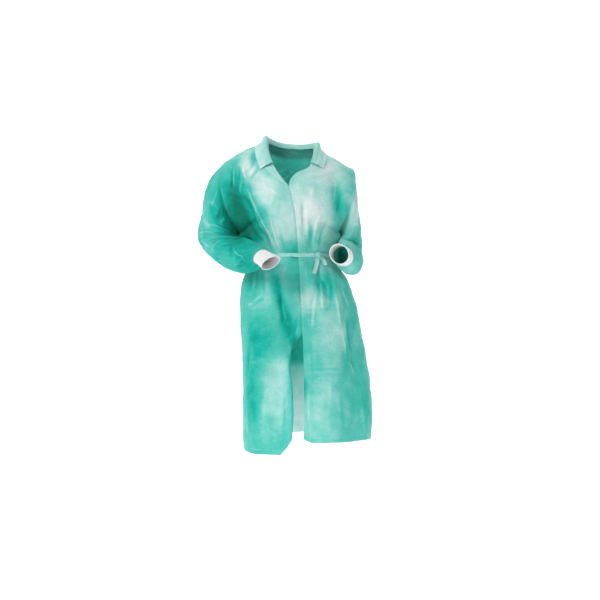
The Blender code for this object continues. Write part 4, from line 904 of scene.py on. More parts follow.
def torso_spans():
    """Level, share, face and side of every point of the three panels of the body."""
    levels = body_levels()[:, None]
    spans = {}
    for name, side in (("front_right", -1), ("front_left", 1)):
        shares = front_shares(side)
        spans[name] = (levels * np.ones(shares.shape), shares, -1, side * np.ones(shares.shape))
    shares = back_shares()[None, :]
    fine_levels = back_levels(shares)
    shares = shares * np.ones(fine_levels.shape)
    spans["back"] = (fine_levels, shares, 1, np.where(shares < 0.0, -1.0, 1.0))
    return spans


def torso_grids(spans):
    """The three panels as grids of points: plain, and with their large folds."""
    plain = {}
    for name, (level, share, face, own) in spans.items():
        points = body_point(level, share, face, own)
        drops = [hem_drop(share, face, half, points[..., 2]) for half in (-1, 1)]
        points[..., 2] -= np.where(own < 0, drops[0], drops[1])
        plain[name] = (points, False)
    normals = grid_normals(plain)
    folded = {}
    for name, (level, share, face, own) in spans.items():
        points = plain[name][0]
        height = relief(points, level, share, face)
        if name == "front_right":
            height = height - overlap_drop(points)
        folded[name] = (points + normals[name] * height[..., None], False)
    return plain, folded


def ring_points(rings, angles):
    """Points of each ring: angle 0 is its outer end, a quarter turn on its front or outer side."""
    inner = np.stack((rings["inner_x"], rings["inner_y"], rings["inner_z"]), axis=-1)
    outer = np.stack((rings["outer_x"], rings["outer_y"], rings["outer_z"]), axis=-1)
    centre = (inner + outer) / 2.0
    half = (outer - inner) / 2.0
    depth = np.stack((rings["depth_x"], rings["depth_y"], np.zeros(len(half))), axis=-1)
    lead = unit(np.gradient(centre, axis=0)) * rings["lead"][:, None]
    lead[:, 0] += rings["spread"]
    turn = angles[None, :, None]
    return (centre[:, None] + half[:, None] * np.cos(turn) + depth[:, None] * np.sin(turn)
            + lead[:, None] * np.sin(turn) ** 2)


def armhole_ring(side, torso, first):
    """The edge of an armhole, from the shoulder seam down the front and up the back."""
    name = "front_right" if side < 0 else "front_left"
    front = torso[name][first:, -1]
    back = torso["back"][first:, 0 if side < 0 else -1]
    return np.concatenate((front[::-1], back[1:-1]))


def sleeve_grid(name, torso):
    """One sleeve: its first ring is the armhole's edge, then the table's rings, smoothed along the arm."""
    armhole = armhole_ring(ARMHOLES[name]["side"], torso, SKIRT_ROWS)
    count = len(armhole)
    angles = np.arange(count) * 2.0 * np.pi / count
    rings = ring_points(named(SLEEVE_TABLES[name], RING_COLUMNS), angles)
    control = np.concatenate((armhole[None], rings))
    keys = np.arange(len(control), dtype=float)
    at = np.linspace(0.0, keys[-1], SLEEVE_RINGS)
    grid = np.empty((SLEEVE_RINGS, count, 3))
    for c in range(count):
        for axis in range(3):
            grid[:, c, axis] = curve(keys, control[:, c, axis], at)
    return grid


def around(turn, middle):
    """Turns in degrees, as radians within half a turn of a middle."""
    middle = np.radians(middle)
    return middle + (np.radians(turn) - middle + np.pi) % (2.0 * np.pi) - np.pi


def on_sleeve(shape, row, height):
    """Calls a height function with a sleeve's along and turn in metres, round the row's own middle."""
    rings, count = shape
    along = np.linspace(0.0, 1.0, rings)[:, None] * np.ones((1, count))
    turn = around(np.arange(count)[None, :] * 360.0 / count * np.ones((rings, 1)), (row[1] + row[3]) / 2.0)
    line = (row[0] * SLEEVE_LENGTH, np.radians(row[1]) * SLEEVE_RADIUS,
            row[2] * SLEEVE_LENGTH, np.radians(row[3]) * SLEEVE_RADIUS) + tuple(row[4:])
    return height(along * SLEEVE_LENGTH, turn * SLEEVE_RADIUS, [line])


def sleeve_calm(rings):
    """Sleeve folds are calm at both seams."""
    along = np.linspace(0.0, 1.0, rings)[:, None]
    return ease(0.0, SLEEVE_CALM, along) * (1.0 - ease(1.0 - SLEEVE_CALM, 1.0, along))


def large_form():
    """The gown's body with its large folds, as the solids have it, on a finer grid."""
    spans = torso_spans()
    plain, torso = torso_grids(spans)
    panels = {name: grid for name, (grid, _) in torso.items()}
    grids = {name: (grid, False) for name, grid in panels.items()}
    for name in ARMHOLES:
        grids["sleeve_" + name] = (sleeve_grid(name, panels), True)
    normals = grid_normals(grids)
    for name in ARMHOLES:
        key = "sleeve_" + name
        grid = grids[key][0]
        height = np.zeros(grid.shape[:2])
        for row in SLEEVE_FOLDS[name]:
            height += on_sleeve(grid.shape[:2], row, lambda x, z, t: folds_height(x, z, t, FOLD_COLUMNS))
        height *= sleeve_calm(len(grid))
        grids[key] = (grid + normals[key] * height[..., None], True)
    return spans, {name: grid for name, (grid, _) in plain.items()}, grids


def match_seams(grids):
    """Make the seams of the finer grids meet exactly again."""
    first = 2 * SKIRT_ROWS
    back = grids["back"][0]
    columns = 2 * FRONT_COLUMNS + 1
    grids["front_right"][0][-1] = back[-1, :columns][::-1]
    grids["front_left"][0][-1] = back[-1, -columns:]
    grids["front_right"][0][:first + 1, -1] = back[:first + 1, 0]
    grids["front_left"][0][:first + 1, -1] = back[:first + 1, -1]
    torso = {name: grids[name][0] for name in PANELS}
    for name, hole in ARMHOLES.items():
        grids["sleeve_" + name][0][0] = armhole_ring(hole["side"], torso, first)


def steps_along(grid, axis):
    """Distance of each point from the first one, along an axis of the grid."""
    steps = np.linalg.norm(np.diff(grid, axis=axis), axis=-1)
    start = np.zeros_like(np.take(steps, [0], axis=axis))
    return np.concatenate((start, np.cumsum(steps, axis=axis)), axis=axis)


def crumple(points):
    """Uneven small facets all over, with sharp crests as thin bonded cloth has."""
    total = np.zeros(len(points))
    for size, height in CRUMPLES:
        offset = Vector([size * part for part in CRUMPLE_OFFSET])
        field = np.array([noise.noise((Vector(p) + offset) / size) for p in points])
        crest = CRUMPLE_SHARP * (0.5 - CRUMPLE_SPREAD * np.abs(field)) + (1.0 - CRUMPLE_SHARP) * field
        total += height * crest
    return total


def pucker(points, off, centre):
    """Short puckers that run out from an armhole's seam, and the seam's own ridge."""
    turn = np.arctan2(points[..., 2] - centre[2], points[..., 1] - centre[1])
    shift = sum(size * np.sin(waves * turn + start) for size, waves, start in PUCKER_SHIFT)
    share, waves, start = PUCKER_VARY
    uneven = 1.0 - share + share * np.sin(waves * turn + start)
    near = np.exp(-(off / PUCKER_REACH) ** PUCKER_SHAPE)
    pressed = 1.0 - SEAM_PRESS * np.exp(-(off / SEAM_PRESS_REACH) ** 2)
    ridge = SEAM_RIDGE * np.exp(-(off / SEAM_REACH) ** 2)
    return PUCKER_HEIGHT * np.sin(PUCKERS * turn + shift) * uneven * near * pressed + ridge


def tone_places(x, z, table):
    """The tone that a table of pale places and of deep places with painted shade adds."""
    total = np.zeros(np.broadcast(x, z).shape)
    for row in table:
        place = dict(zip(TONE_COLUMNS, row))
        turn = math.radians(place["turn"])
        dx, dz = x - place["x"], z - place["z"]
        u = (dx * math.cos(turn) + dz * math.sin(turn)) / place["radius_x"]
        v = (dz * math.cos(turn) - dx * math.sin(turn)) / place["radius_z"]
        total += place["tone"] * np.exp(-(u * u + v * v) ** TONE_SHAPE)
    return total


def sleeve_tones(shape, table):
    """The same for a sleeve, by along and turn."""
    rings, count = shape
    total = np.zeros(shape)
    along = np.linspace(0.0, SLEEVE_LENGTH, rings)[:, None] * np.ones((1, count))
    degrees = np.arange(count)[None, :] * 360.0 / count * np.ones((rings, 1))
    for row in table:
        turn = around(degrees, row[1]) * SLEEVE_RADIUS
        place = (row[0] * SLEEVE_LENGTH, math.radians(row[1]) * SLEEVE_RADIUS) + tuple(row[2:])
        total += tone_places(along, turn, [place])
    return total


def soften(values, times):
    """A grid of values, averaged with its neighbours several times."""
    for _ in range(times):
        wide = np.pad(values, 1, mode="edge")
        values = (wide[:-2, 1:-1] + wide[2:, 1:-1] + wide[1:-1, :-2] + wide[1:-1, 2:] + 2.0 * values) / 6.0
    return values


def slow_drift(grid):
    """Slow changes of tone over a grid, from -1 to 1, worked out at some points and spread from them."""
    few = grid[::DRIFT_STEP, ::DRIFT_STEP]
    points = few.reshape(-1, 3)
    offset = Vector(DRIFT_OFFSET)
    low = np.array([noise.noise(Vector(p) * DRIFT_COARSE[0] + offset) for p in points])
    high = np.array([noise.noise(Vector(p) * DRIFT_FINE[0]) for p in points])
    drift = np.clip(low * DRIFT_COARSE[1] + high * DRIFT_FINE[1], -1.0, 1.0).reshape(few.shape[:2])
    drift = drift.repeat(DRIFT_STEP, axis=0).repeat(DRIFT_STEP, axis=1)
    return soften(drift[:grid.shape[0], :grid.shape[1]], DRIFT_SOFTEN)


def crease_light_and_shade(creases):
    """The tone that creases add: painted highlights on the crests and painted shade in the troughs."""
    raised = np.clip(creases / TONE_FOLD, -1.0, CREST_HIGHLIGHT_LIMIT)
    return np.where(raised > 0.0, CREST_HIGHLIGHT, TROUGH_SHADE) * raised


def sleeve_detail(key, grid, field):
    """A sleeve's creases, its tone, how much of the crumple shows on it, and its puckers."""
    shape, up = grid.shape[:2], field["bottom_m"]
    creases = sum(on_sleeve(shape, row, creases_height) for row in SLEEVE_CREASES[key])
    calm = ease(0.0, CRUMPLE_SLEEVE[0], up) * ease(0.0, CRUMPLE_SLEEVE[1], field["top_m"])
    puckers = pucker(grid, up, grid[0].mean(axis=0))
    return creases * sleeve_calm(shape[0]), sleeve_tones(shape, SLEEVE_TONES[key]), calm, puckers


def panel_detail(name, grid, field, flat, level, share, centres):
    """The same for a panel of the body, by its plain form, levels and shares and the armholes' middles."""
    x, z = flat[..., 0], flat[..., 2]
    creases = creases_height(x, z, BACK_CREASES if name == "back" else FRONT_CREASES)
    tone = tone_places(x, z, BACK_TONES if name == "back" else FRONT_TONES)
    top = ease(PANEL_TOP[0], PANEL_TOP[1], level)
    inside = ease(CREASE_FACE[0], CREASE_FACE[1], np.cos(np.abs(share) * np.pi / 2.0)) * (1.0 - top)
    calm = ease(CRUMPLE_CALM[0], CRUMPLE_CALM[1], np.abs(z - WAIST))
    tone = tone * (1.0 - SHOULDER_FADE * top)
    # Below the waist the under front's free edge gets a painted shadow
    if name == "front_right":
        edge = np.exp(-(field["first_m"] / EDGE_SHADOW_REACH) ** 2)
        tone = tone - EDGE_SHADOW * edge * ease(WAIST, WAIST - EDGE_SHADOW_START, z)
    swell = UNDERARM_SWELL * np.exp(-((z - UNDERARM_PLACE) / UNDERARM_REACH) ** 2)
    raised = swell * np.exp(-((1.0 - np.abs(share)) / UNDERARM_SPREAD) ** 2)
    above = ease(PUCKER_START[0], PUCKER_START[1], level)
    for hole, side in ARMHOLE_EDGES[name]:
        off = field[side]
        raised = raised + pucker(grid, off, centres[hole]) * above * (off < PUCKER_END)
    return creases * inside * calm, tone, calm, raised


@functools.cache
def gown_body(crease_scale, crumple_scale):
    """The body's finest grids, their normals and what their material reads."""
    spans, plain, grids = large_form()
    base = {name: (finer(finer(grid, 0), 1, closed), closed) for name, (grid, closed) in grids.items()}
    match_seams(base)
    normals = grid_normals(base)
    centres = {name: base["sleeve_" + name][0][0].mean(axis=0) for name in ARMHOLES}
    fields, shaped = {}, {}
    for name, (grid, closed) in base.items():
        across, up = steps_along(grid, 1), steps_along(grid, 0)
        field = {"first_m": across, "last_m": across[:, -1:] - across, "bottom_m": up, "top_m": up[-1:] - up}
        if closed:
            detail = sleeve_detail(name.removeprefix("sleeve_"), grid, field)
        else:
            flat, level, share = (finer(finer(part, 0), 1) for part in (plain[name],) + spans[name][:2])
            detail = panel_detail(name, grid, field, flat, level, share, centres)
        creases, tone, calm, raised = detail
        fine = crumple(grid.reshape(-1, 3)).reshape(grid.shape[:2]) * crumple_scale
        height = creases * crease_scale + fine * calm + raised
        # The tone adds up the pale places, the deep places with painted shade, the starting tone, a random
        # drift, and the creases' painted highlights and shade
        field["tone"] = BASE_TONE[name] + tone + TONE_DRIFT * slow_drift(grid) + crease_light_and_shade(creases)
        fields[name] = field
        shaped[name] = (grid + normals[name] * height[..., None], closed)
    match_seams(shaped)
    return shaped, grid_normals(shaped), fields


def wall_faces(rows, columns, closed):
    """Corner places of a wall's outer, inner and border faces, in a grid with its last column repeated."""
    wide = columns + 1 if closed else columns
    r, c = np.meshgrid(np.arange(rows - 1), np.arange(wide - 1), indexing="ij")
    a = (r * wide + c).ravel()
    outer = np.stack((a, a + 1, a + wide + 1, a + wide), axis=-1)
    lines = [np.arange(wide), (rows - 1) * wide + np.arange(wide)[::-1]]
    if not closed:
        lines += [np.arange(rows)[::-1] * wide, np.arange(rows) * wide + wide - 1]
    border = np.concatenate([np.stack((line[:-1], line[1:]), axis=-1) for line in lines])
    return outer, border, wide


def build_wall(name, outer, inner, closed, fields=None, uv=None, insides=None):
    """A thin closed wall of cloth between two grids, with its attributes and its UV map in metres."""
    rows, columns = outer.shape[:2]
    faces, border, wide = wall_faces(rows, columns, closed)
    count = rows * columns
    place = np.arange(rows * wide)
    vertex = (place // wide) * columns + (place % wide) % columns
    skins = [faces, faces[:, ::-1]]
    rim = np.stack((border[:, 1], border[:, 0], border[:, 0], border[:, 1]), axis=-1)
    corners = np.concatenate((skins[0], skins[1], rim))
    verts = vertex[corners]
    verts[len(faces):2 * len(faces)] += count
    verts[2 * len(faces):, 2:] += count
    points = np.concatenate((outer.reshape(-1, 3), inner.reshape(-1, 3)))
    a, b, c, d = (points[verts[:, i]] for i in range(4))
    volume = np.sum(np.cross(c - a, d - b) * (a + b + c + d))
    if volume < 0.0:
        verts, corners = verts[:, ::-1], corners[:, ::-1]
    mesh = bpy.data.meshes.new(name)
    mesh.from_pydata(points.tolist(), [], verts.tolist())
    for key, values in (fields or {}).items():
        layer = mesh.attributes.new(key, "FLOAT", "POINT")
        inside = (insides or {}).get(key, values)
        layer.data.foreach_set("value", np.concatenate((values.ravel(), inside.ravel())).astype(np.float32))
    if uv is None:
        uv = np.stack((steps_along(outer, 1), steps_along(outer, 0)), axis=-1)
    if closed:
        gap = np.linalg.norm(outer[:, :1] - outer[:, -1:], axis=-1)
        last = np.stack((uv[:, -1:, 0] + gap, uv[:, :1, 1]), axis=-1)
        uv = np.concatenate((uv, last), axis=1)
    layer = mesh.uv_layers.new(name="cloth_m")
    flat = uv.reshape(-1, 2)[corners.ravel()]
    layer.data.foreach_set("uv", flat.ravel().astype(np.float32))
    mesh.update()
    obj = bpy.data.objects.new(name, mesh)
    bpy.context.scene.collection.objects.link(obj)
    shade(obj)
    return obj


def shade(obj, angle=50.0):
    """Smooth shading, with sharp rims."""
    bpy.ops.object.select_all(action="DESELECT")
    obj.select_set(True)
    bpy.context.view_layer.objects.active = obj
    bpy.ops.object.shade_smooth_by_angle(angle=math.radians(angle))


def dress(obj, node, material):
    """Give a finished piece its material, hide the part that it replaces and hang it on what it rides on."""
    obj.data.materials.append(material)
    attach(obj, "root")
    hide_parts(node)


class Wire:
    """A shader value. Used in an expression, it adds the Math nodes that work the expression out."""

    def __init__(self, recipe, socket):
        self.recipe = recipe
        self.socket = socket

    def math(self, operation, *others):
        values = [self] + list(others)
        return self.recipe.wire("ShaderNodeMath", {"operation": operation}, values)

    def __add__(self, other):
        return self.math("ADD", other)

    __radd__ = __add__

    def __mul__(self, other):
        return self.math("MULTIPLY", other)

    __rmul__ = __mul__

    def __sub__(self, other):
        return self.math("SUBTRACT", other)

    def __rsub__(self, other):
        return self.recipe.wire("ShaderNodeMath", {"operation": "SUBTRACT"}, [other, self])

    def absolute(self):
        return self.math("ABSOLUTE")

    def wrapped(self, size):
        """The value's distance from the middle of its repeat, from 0 to half the size."""
        return (self.math("FLOORED_MODULO", size) - size / 2.0).absolute()

    def step(self, low, high):
        """0 below low, 1 above high, soft between."""
        settings = {"interpolation_type": "SMOOTHSTEP"}
        values = {"Value": self, "From Min": low, "From Max": high, "To Min": 0.0, "To Max": 1.0}
        return self.recipe.wire("ShaderNodeMapRange", settings, values)

    def line(self, place, half):
        """1 on a line at a place, 0 beyond its half width."""
        return 1.0 - (self - place).absolute().step(half * 0.5, half)


class Recipe:
    """A material's node tree and the one way in which its nodes are added."""

    def __init__(self, name):
        self.material = bpy.data.materials.new(name)
        self.material.use_nodes = True
        self.tree = self.material.node_tree
        self.shader = self.tree.nodes["Principled BSDF"]
        self.shader.inputs["Metallic"].default_value = 0.0

    def node(self, kind, settings=None, values=None):
        """A node with its settings made first, then the values or links of its sockets."""
        node = self.tree.nodes.new(kind)
        for key, value in (settings or {}).items():
            if key == "stops":
                self.set_stops(node.color_ramp, value)
            else:
                setattr(node, key, value)
        pairs = enumerate(values) if isinstance(values, (list, tuple)) else (values or {}).items()
        for key, value in pairs:
            self.feed(node.inputs[key], value)
        return node

    def set_stops(self, ramp, stops):
        """Colour stops of a ramp, from left to right."""
        while len(ramp.elements) < len(stops):
            ramp.elements.new(1.0)
        for element, (place, colour) in zip(ramp.elements, stops):
            element.position = place
            element.color = opaque(colour)

    def feed(self, socket, value):
        """A link from a wire, or a plain value."""
        if isinstance(value, Wire):
            self.tree.links.new(value.socket, socket)
        else:
            socket.default_value = value

    def wire(self, kind, settings=None, values=None, output=0):
        """The output of a new node."""
        return Wire(self, self.node(kind, settings, values).outputs[output])

    def field(self, name):
        """A number kept on the piece's points."""
        return self.wire("ShaderNodeAttribute", {"attribute_name": name}, None, "Fac")

    def uv(self):
        """Across and up the cloth, in metres."""
        split = self.node("ShaderNodeSeparateXYZ", None, [self.cloth()])
        return Wire(self, split.outputs[0]), Wire(self, split.outputs[1])

    def cloth(self):
        """The piece's UV map, in metres."""
        return self.wire("ShaderNodeUVMap", {"uv_map": "cloth_m"})

    def place(self):
        """Object coordinates, in metres."""
        return self.wire("ShaderNodeTexCoord", None, None, "Object")

    def grain(self, where, scale, detail=2.0, distortion=0.0, roughness=0.5):
        """A noise value from 0 to 1."""
        values = {"Vector": where, "Scale": scale, "Detail": detail, "Roughness": roughness,
                  "Distortion": distortion}
        return self.wire("ShaderNodeTexNoise", None, values, "Fac")

    def cells(self, where, scale):
        """Distance to the edges of uneven cells."""
        settings = {"feature": "DISTANCE_TO_EDGE"}
        return self.wire("ShaderNodeTexVoronoi", settings, {"Vector": where, "Scale": scale}, "Distance")

    def stretched(self, where, scale):
        """A place scaled unevenly."""
        return self.wire("ShaderNodeVectorMath", {"operation": "MULTIPLY"}, [where, scale])

    def blend(self, share, first, second):
        """A colour between two, by share."""
        node = self.node("ShaderNodeMix", {"data_type": "RGBA"})
        self.feed(node.inputs["Factor"], share)
        self.feed(node.inputs[6], first)
        self.feed(node.inputs[7], second)
        return Wire(self, node.outputs[2])

    def ramp(self, value, stops):
        """A colour from a ramp."""
        return self.wire("ShaderNodeValToRGB", {"stops": stops}, {"Fac": value}, "Color")

    def bump(self, height):
        """Feed a height in metres to the shader's normal."""
        values = {"Height": height, "Distance": 1.0, "Strength": BUMP_STRENGTH}
        self.feed(self.shader.inputs["Normal"], self.wire("ShaderNodeBump", None, values, "Normal"))

    def finish(self, colour, roughness, sheen=0.0, sheen_roughness=0.5):
        """Feed the shader's colour and roughness and set what is the same all over."""
        self.feed(self.shader.inputs["Base Color"], colour)
        self.feed(self.shader.inputs["Roughness"], roughness)
        self.shader.inputs["Sheen Weight"].default_value = sheen
        self.shader.inputs["Sheen Roughness"].default_value = sheen_roughness
        self.shader.inputs["Specular IOR Level"].default_value = SPECULAR
        return self.material

    def lit_through(self):
        """Let light through thin cloth."""
        self.shader.inputs["Subsurface Weight"].default_value = LIGHT_THROUGH
        self.shader.inputs["Subsurface Radius"].default_value = LIGHT_TINT
        self.shader.inputs["Subsurface Scale"].default_value = LIGHT_REACH


def opaque(colour):
    """A colour with its alpha."""
    return tuple(colour) + (1.0,)


def stitches(line, along, length, gap):
    """A stitched line: dashes of thread with gaps between them."""
    start = length / 2.0 - gap
    return line * (1.0 - along.wrapped(length).step(start, length / 2.0 - gap * STITCH_SOFT))


def nonwoven(recipe, tone, colours):
    """Colour, roughness and height of the bonded cloth: fibres, bond points and a papery crumple."""
    cloth = recipe.cloth()
    u, v = recipe.uv()
    fibres = recipe.grain(recipe.stretched(cloth, FIBRE_SCALE), *FIBRE_NOISE)
    clouds = recipe.grain(cloth, *CLOUD_NOISE)
    bond = 1.0 - ((u + v).wrapped(BOND_SPACING) + (u - v).wrapped(BOND_SPACING)).step(*BOND_SIZE)
    patches = recipe.grain(cloth, *PATCH_NOISE)
    shown = (tone * 0.5 + 0.5 + (patches - 0.5) * MOTTLE + (clouds - 0.5) * CLOUD_TONE
             + (fibres - 0.5) * FIBRE_TONE - bond * BOND_TONE)
    colour = recipe.ramp(shown, [(place, getattr(colours, name)) for name, place in TONE_STOPS.items()])
    wander = recipe.wire("ShaderNodeTexNoise", None, {"Vector": cloth, "Scale": WARP_SCALE}, "Color")
    warped = recipe.wire("ShaderNodeVectorMath", {"operation": "MULTIPLY_ADD"},
                         [wander, (WARP, WARP, 0.0), cloth])
    wrinkles = 1.0 - recipe.cells(warped, WRINKLE_SCALE).step(0.0, WRINKLE_WIDTH)
    small = 1.0 - recipe.cells(warped, SMALL_SCALE).step(0.0, SMALL_WIDTH)
    height = (wrinkles * WRINKLE_HEIGHT + small * SMALL_HEIGHT + fibres * FIBRE_HEIGHT - bond * BOND_HEIGHT
              + clouds * CLOUD_HEIGHT)
    rough = CLOTH_ROUGH + (fibres - 0.5) * FIBRE_ROUGH + bond * BOND_ROUGH
    return colour, rough, height


def cloth_material(name, colours, seams, stitch, pressed=False):
    """Cloth with its stitched lines, which may be pressed into the cloth."""
    recipe = Recipe(name)
    axes = dict(zip("uv", recipe.uv()))
    length, gap, half, thickness, strength = stitch
    threads, grooves = [], []
    for edge, place, axis in seams:
        away = recipe.field(edge)
        threads.append(stitches(away.line(place, half), axes[axis], length, gap))
        if pressed:
            grooves.append(away.line(place, GROOVE_HALF))
    thread, groove = added(threads), added(grooves)
    tone = recipe.field("tone")
    colour, rough, height = nonwoven(recipe, tone + groove * GROOVE_TONE if pressed else tone, colours)
    if pressed:
        height = height - groove * GROOVE_DEPTH
    if threads:
        colour = recipe.blend(thread.math("MINIMUM", 1.0) * strength, colour, opaque(colours.thread))
        height = height + thread * thickness
    recipe.bump(height)
    recipe.lit_through()
    return recipe.finish(colour, rough, CLOTH_SHEEN)


def trim_material(part, colours):
    """The cloth of the collar, the band and the tie's parts."""
    return cloth_material("cloth_" + part, colours, SEAMS[part], TRIM_STITCH)


def added(wires):
    """The sum of some wires, or None where there are none."""
    return functools.reduce(lambda first, second: first + second, wires) if wires else None


def knit_material(name, colours):
    """White rib knit: columns of small V stitches."""
    recipe = Recipe(name)
    u, v = recipe.uv()
    column = u.wrapped(KNIT_COLUMN)
    stitch = (v + column * KNIT_SLANT).wrapped(KNIT_STITCH)
    loops = 1.0 - stitch.step(0.0, KNIT_LOOP)
    valley = column.step(*KNIT_VALLEY)
    fuzz = recipe.grain(recipe.cloth(), FUZZ_SCALE, 3.0)
    dark = (1.0 - recipe.field("rib")) * RIB_SHADE + valley * VALLEY_SHADE + (fuzz - 0.5) * FUZZ_SHADE
    colour = recipe.blend(dark, opaque(colours.knit), opaque(colours.knit_shade))
    recipe.bump(loops * LOOP_HEIGHT - valley * VALLEY_DEPTH + fuzz * FUZZ_HEIGHT)
    return recipe.finish(colour, KNIT_ROUGH + (fuzz - 0.5) * FUZZ_ROUGH, *KNIT_SHEEN)


METRES = {"unit": "LENGTH", "precision": 4}
SHARE = {"subtype": "FACTOR"}


def size_choice(label, text, value, low, high, kind):
    """A size that a user may change."""
    return FloatProperty(name=label, description=text, default=value, min=low, max=high, **kind)


class GownSizes(bpy.types.PropertyGroup):
    """Sizes of the dressed gown."""
    cloth: size_choice("Cloth", "Thickness of the gown's cloth", 0.0006, 0.0003, 0.0013, METRES)
    knit: size_choice("Knit", "Thickness of the cuffs", 0.0014, 0.0008, 0.0018, METRES)
    creases: size_choice("Creases", "Height of the creases, as a share of the usual", 1.0, 0.0, 1.5, SHARE)
    crumple: size_choice("Crumple", "Height of the crumples, as a share of the usual", 1.0, 0.0, 1.5, SHARE)
    tie_width: size_choice("Tie width", "Width of the waist tie", 0.012, 0.008, 0.016, METRES)
    rib_height: size_choice("Rib height", "How far the cuffs' ribs stand out", 0.0010, 0.0, 0.0016, METRES)


def colour_choice(label, text, value):
    """A colour that a user may change."""
    return FloatVectorProperty(name=label, description=text, default=value, size=3, min=0.0, max=1.0,
                               subtype="COLOR")


class GownColours(bpy.types.PropertyGroup):
    """Colours of the gown."""
    # The deep and rich stops mostly show painted shade, in hollows and where the cloth hangs free; pale and
    # palest also show painted highlights on crease crests
    deep: colour_choice("Deep", "Cloth in the deepest hollows", (0.000, 0.160, 0.106))
    rich: colour_choice("Rich", "Cloth that hangs free of the body", (0.001, 0.372, 0.300))
    mid: colour_choice("Mid", "Cloth at its usual tone", (0.092, 0.465, 0.400))
    pale: colour_choice("Pale", "Cloth that lies close", (0.345, 0.605, 0.565))
    palest: colour_choice("Palest", "Cloth stretched over the body", (0.640, 0.740, 0.725))
    thread: colour_choice("Thread", "Sewing thread", (0.420, 0.760, 0.680))
    knit: colour_choice("Knit", "Rib knit of the cuffs", (0.860, 0.850, 0.850))
    knit_shade: colour_choice("Knit shade", "Valleys of the rib knit", (0.560, 0.590, 0.600))
    floor: colour_choice("Floor", "Floor and backdrop", (0.900, 0.905, 0.905))


class GOWN_OT_body(bpy.types.Operator):
    """Make the two fronts, the back and the two sleeves"""
    bl_idname = "gown.body"
    bl_label = "Body and sleeves"

    def execute(self, context):
        sizes, colours = context.scene.gown_sizes, context.scene.gown_colours
        grids, normals, fields = gown_body(sizes.creases, sizes.crumple)
        for name, (grid, closed) in grids.items():
            inner = grid - normals[name] * sizes.cloth
            # The back's inner side gets its own tone: painted light low down, painted shade above
            insides = {"tone": np.interp(grid[..., 2], *zip(*BACK_INSIDE))} if name == "back" else None
            obj = build_wall(name + "_cloth", grid, inner, closed, fields[name], None, insides)
            seams = SEAMS[name.split("_")[0]]
            material = cloth_material("cloth_" + name, colours, seams, BODY_STITCH, True)
            dress(obj, name, material)
        return {"FINISHED"}


def surface_tree(grids):
    """The outer faces of the body's panels, to lay other pieces on."""
    points, faces = [], []
    for name in PANELS:
        grid = grids[name][0][::2, ::2]
        rows, columns = grid.shape[:2]
        start = len(points)
        points.extend(grid.reshape(-1, 3).tolist())
        corners, _, _ = wall_faces(rows, columns, False)
        if OUTWARD.get(name, 1.0) < 0.0:
            corners = corners[:, ::-1]
        faces.extend((corners + start).tolist())
    return BVHTree.FromPolygons(points, faces)


def lay_on(tree, point, lift):
    """The nearest place on the panels, moved out by lift."""
    spot, normal, _, _ = tree.find_nearest(Vector(point))
    return np.array(spot + normal * lift)


def read_along(at, along, values):
    """Points or directions read at any place along a line."""
    return np.stack([np.interp(at, along, column) for column in values.T], axis=-1)


def cut_line(points, normals, low):
    """The part of a rising line above a height, cut exactly there."""
    heights = points[:, 2]
    at = [low] + [h for h in heights if h > low]
    return read_along(at, heights, points), read_along(at, heights, normals)


def even_line(points, lean, count):
    """The same line with evenly spaced points."""
    along = steps_along(points, 0)
    at = np.linspace(0.0, along[-1], count)
    return read_along(at, along, points), unit(read_along(at, along, lean))


def soften_line(line, times):
    """A line of points or directions, averaged with its neighbours, its ends kept."""
    line = line.copy()
    for _ in range(times):
        line[1:-1] = (line[:-2] + 2.0 * line[1:-1] + line[2:]) / 4.0
    return line


def neck_line(grids, normals):
    """The neck's edge from the right notch round the back to the left one, and the panels' normals there."""
    rows = slice(2 * SKIRT_ROWS, None)
    right, left = [cut_line(grids[name][0][rows, 0], normals[name][rows, 0], COLLAR_NOTCH)
                   for name in ("front_right", "front_left")]
    middle = slice(2 * FRONT_COLUMNS, 2 * (FRONT_COLUMNS + NECK_COLUMNS) + 1)
    back, back_lean = grids["back"][0][-1, middle], normals["back"][-1, middle]
    points = np.concatenate((right[0], back[1:-1], left[0][::-1]))
    lean = np.concatenate((right[1], back_lean[1:-1], left[1][::-1]))
    return even_line(points, lean, COLLAR_POINTS)


def edge_frame(points, lean):
    """At each point of an edge, the way into the panel and the panel's normal."""
    along = unit(np.gradient(points, axis=0))
    lean = unit(lean - along * np.sum(lean * along, axis=-1, keepdims=True))
    inward = np.cross(along, lean)
    if np.sum(inward[:, :2] * points[:, :2]) < 0.0:
        inward = -inward
    return inward, lean


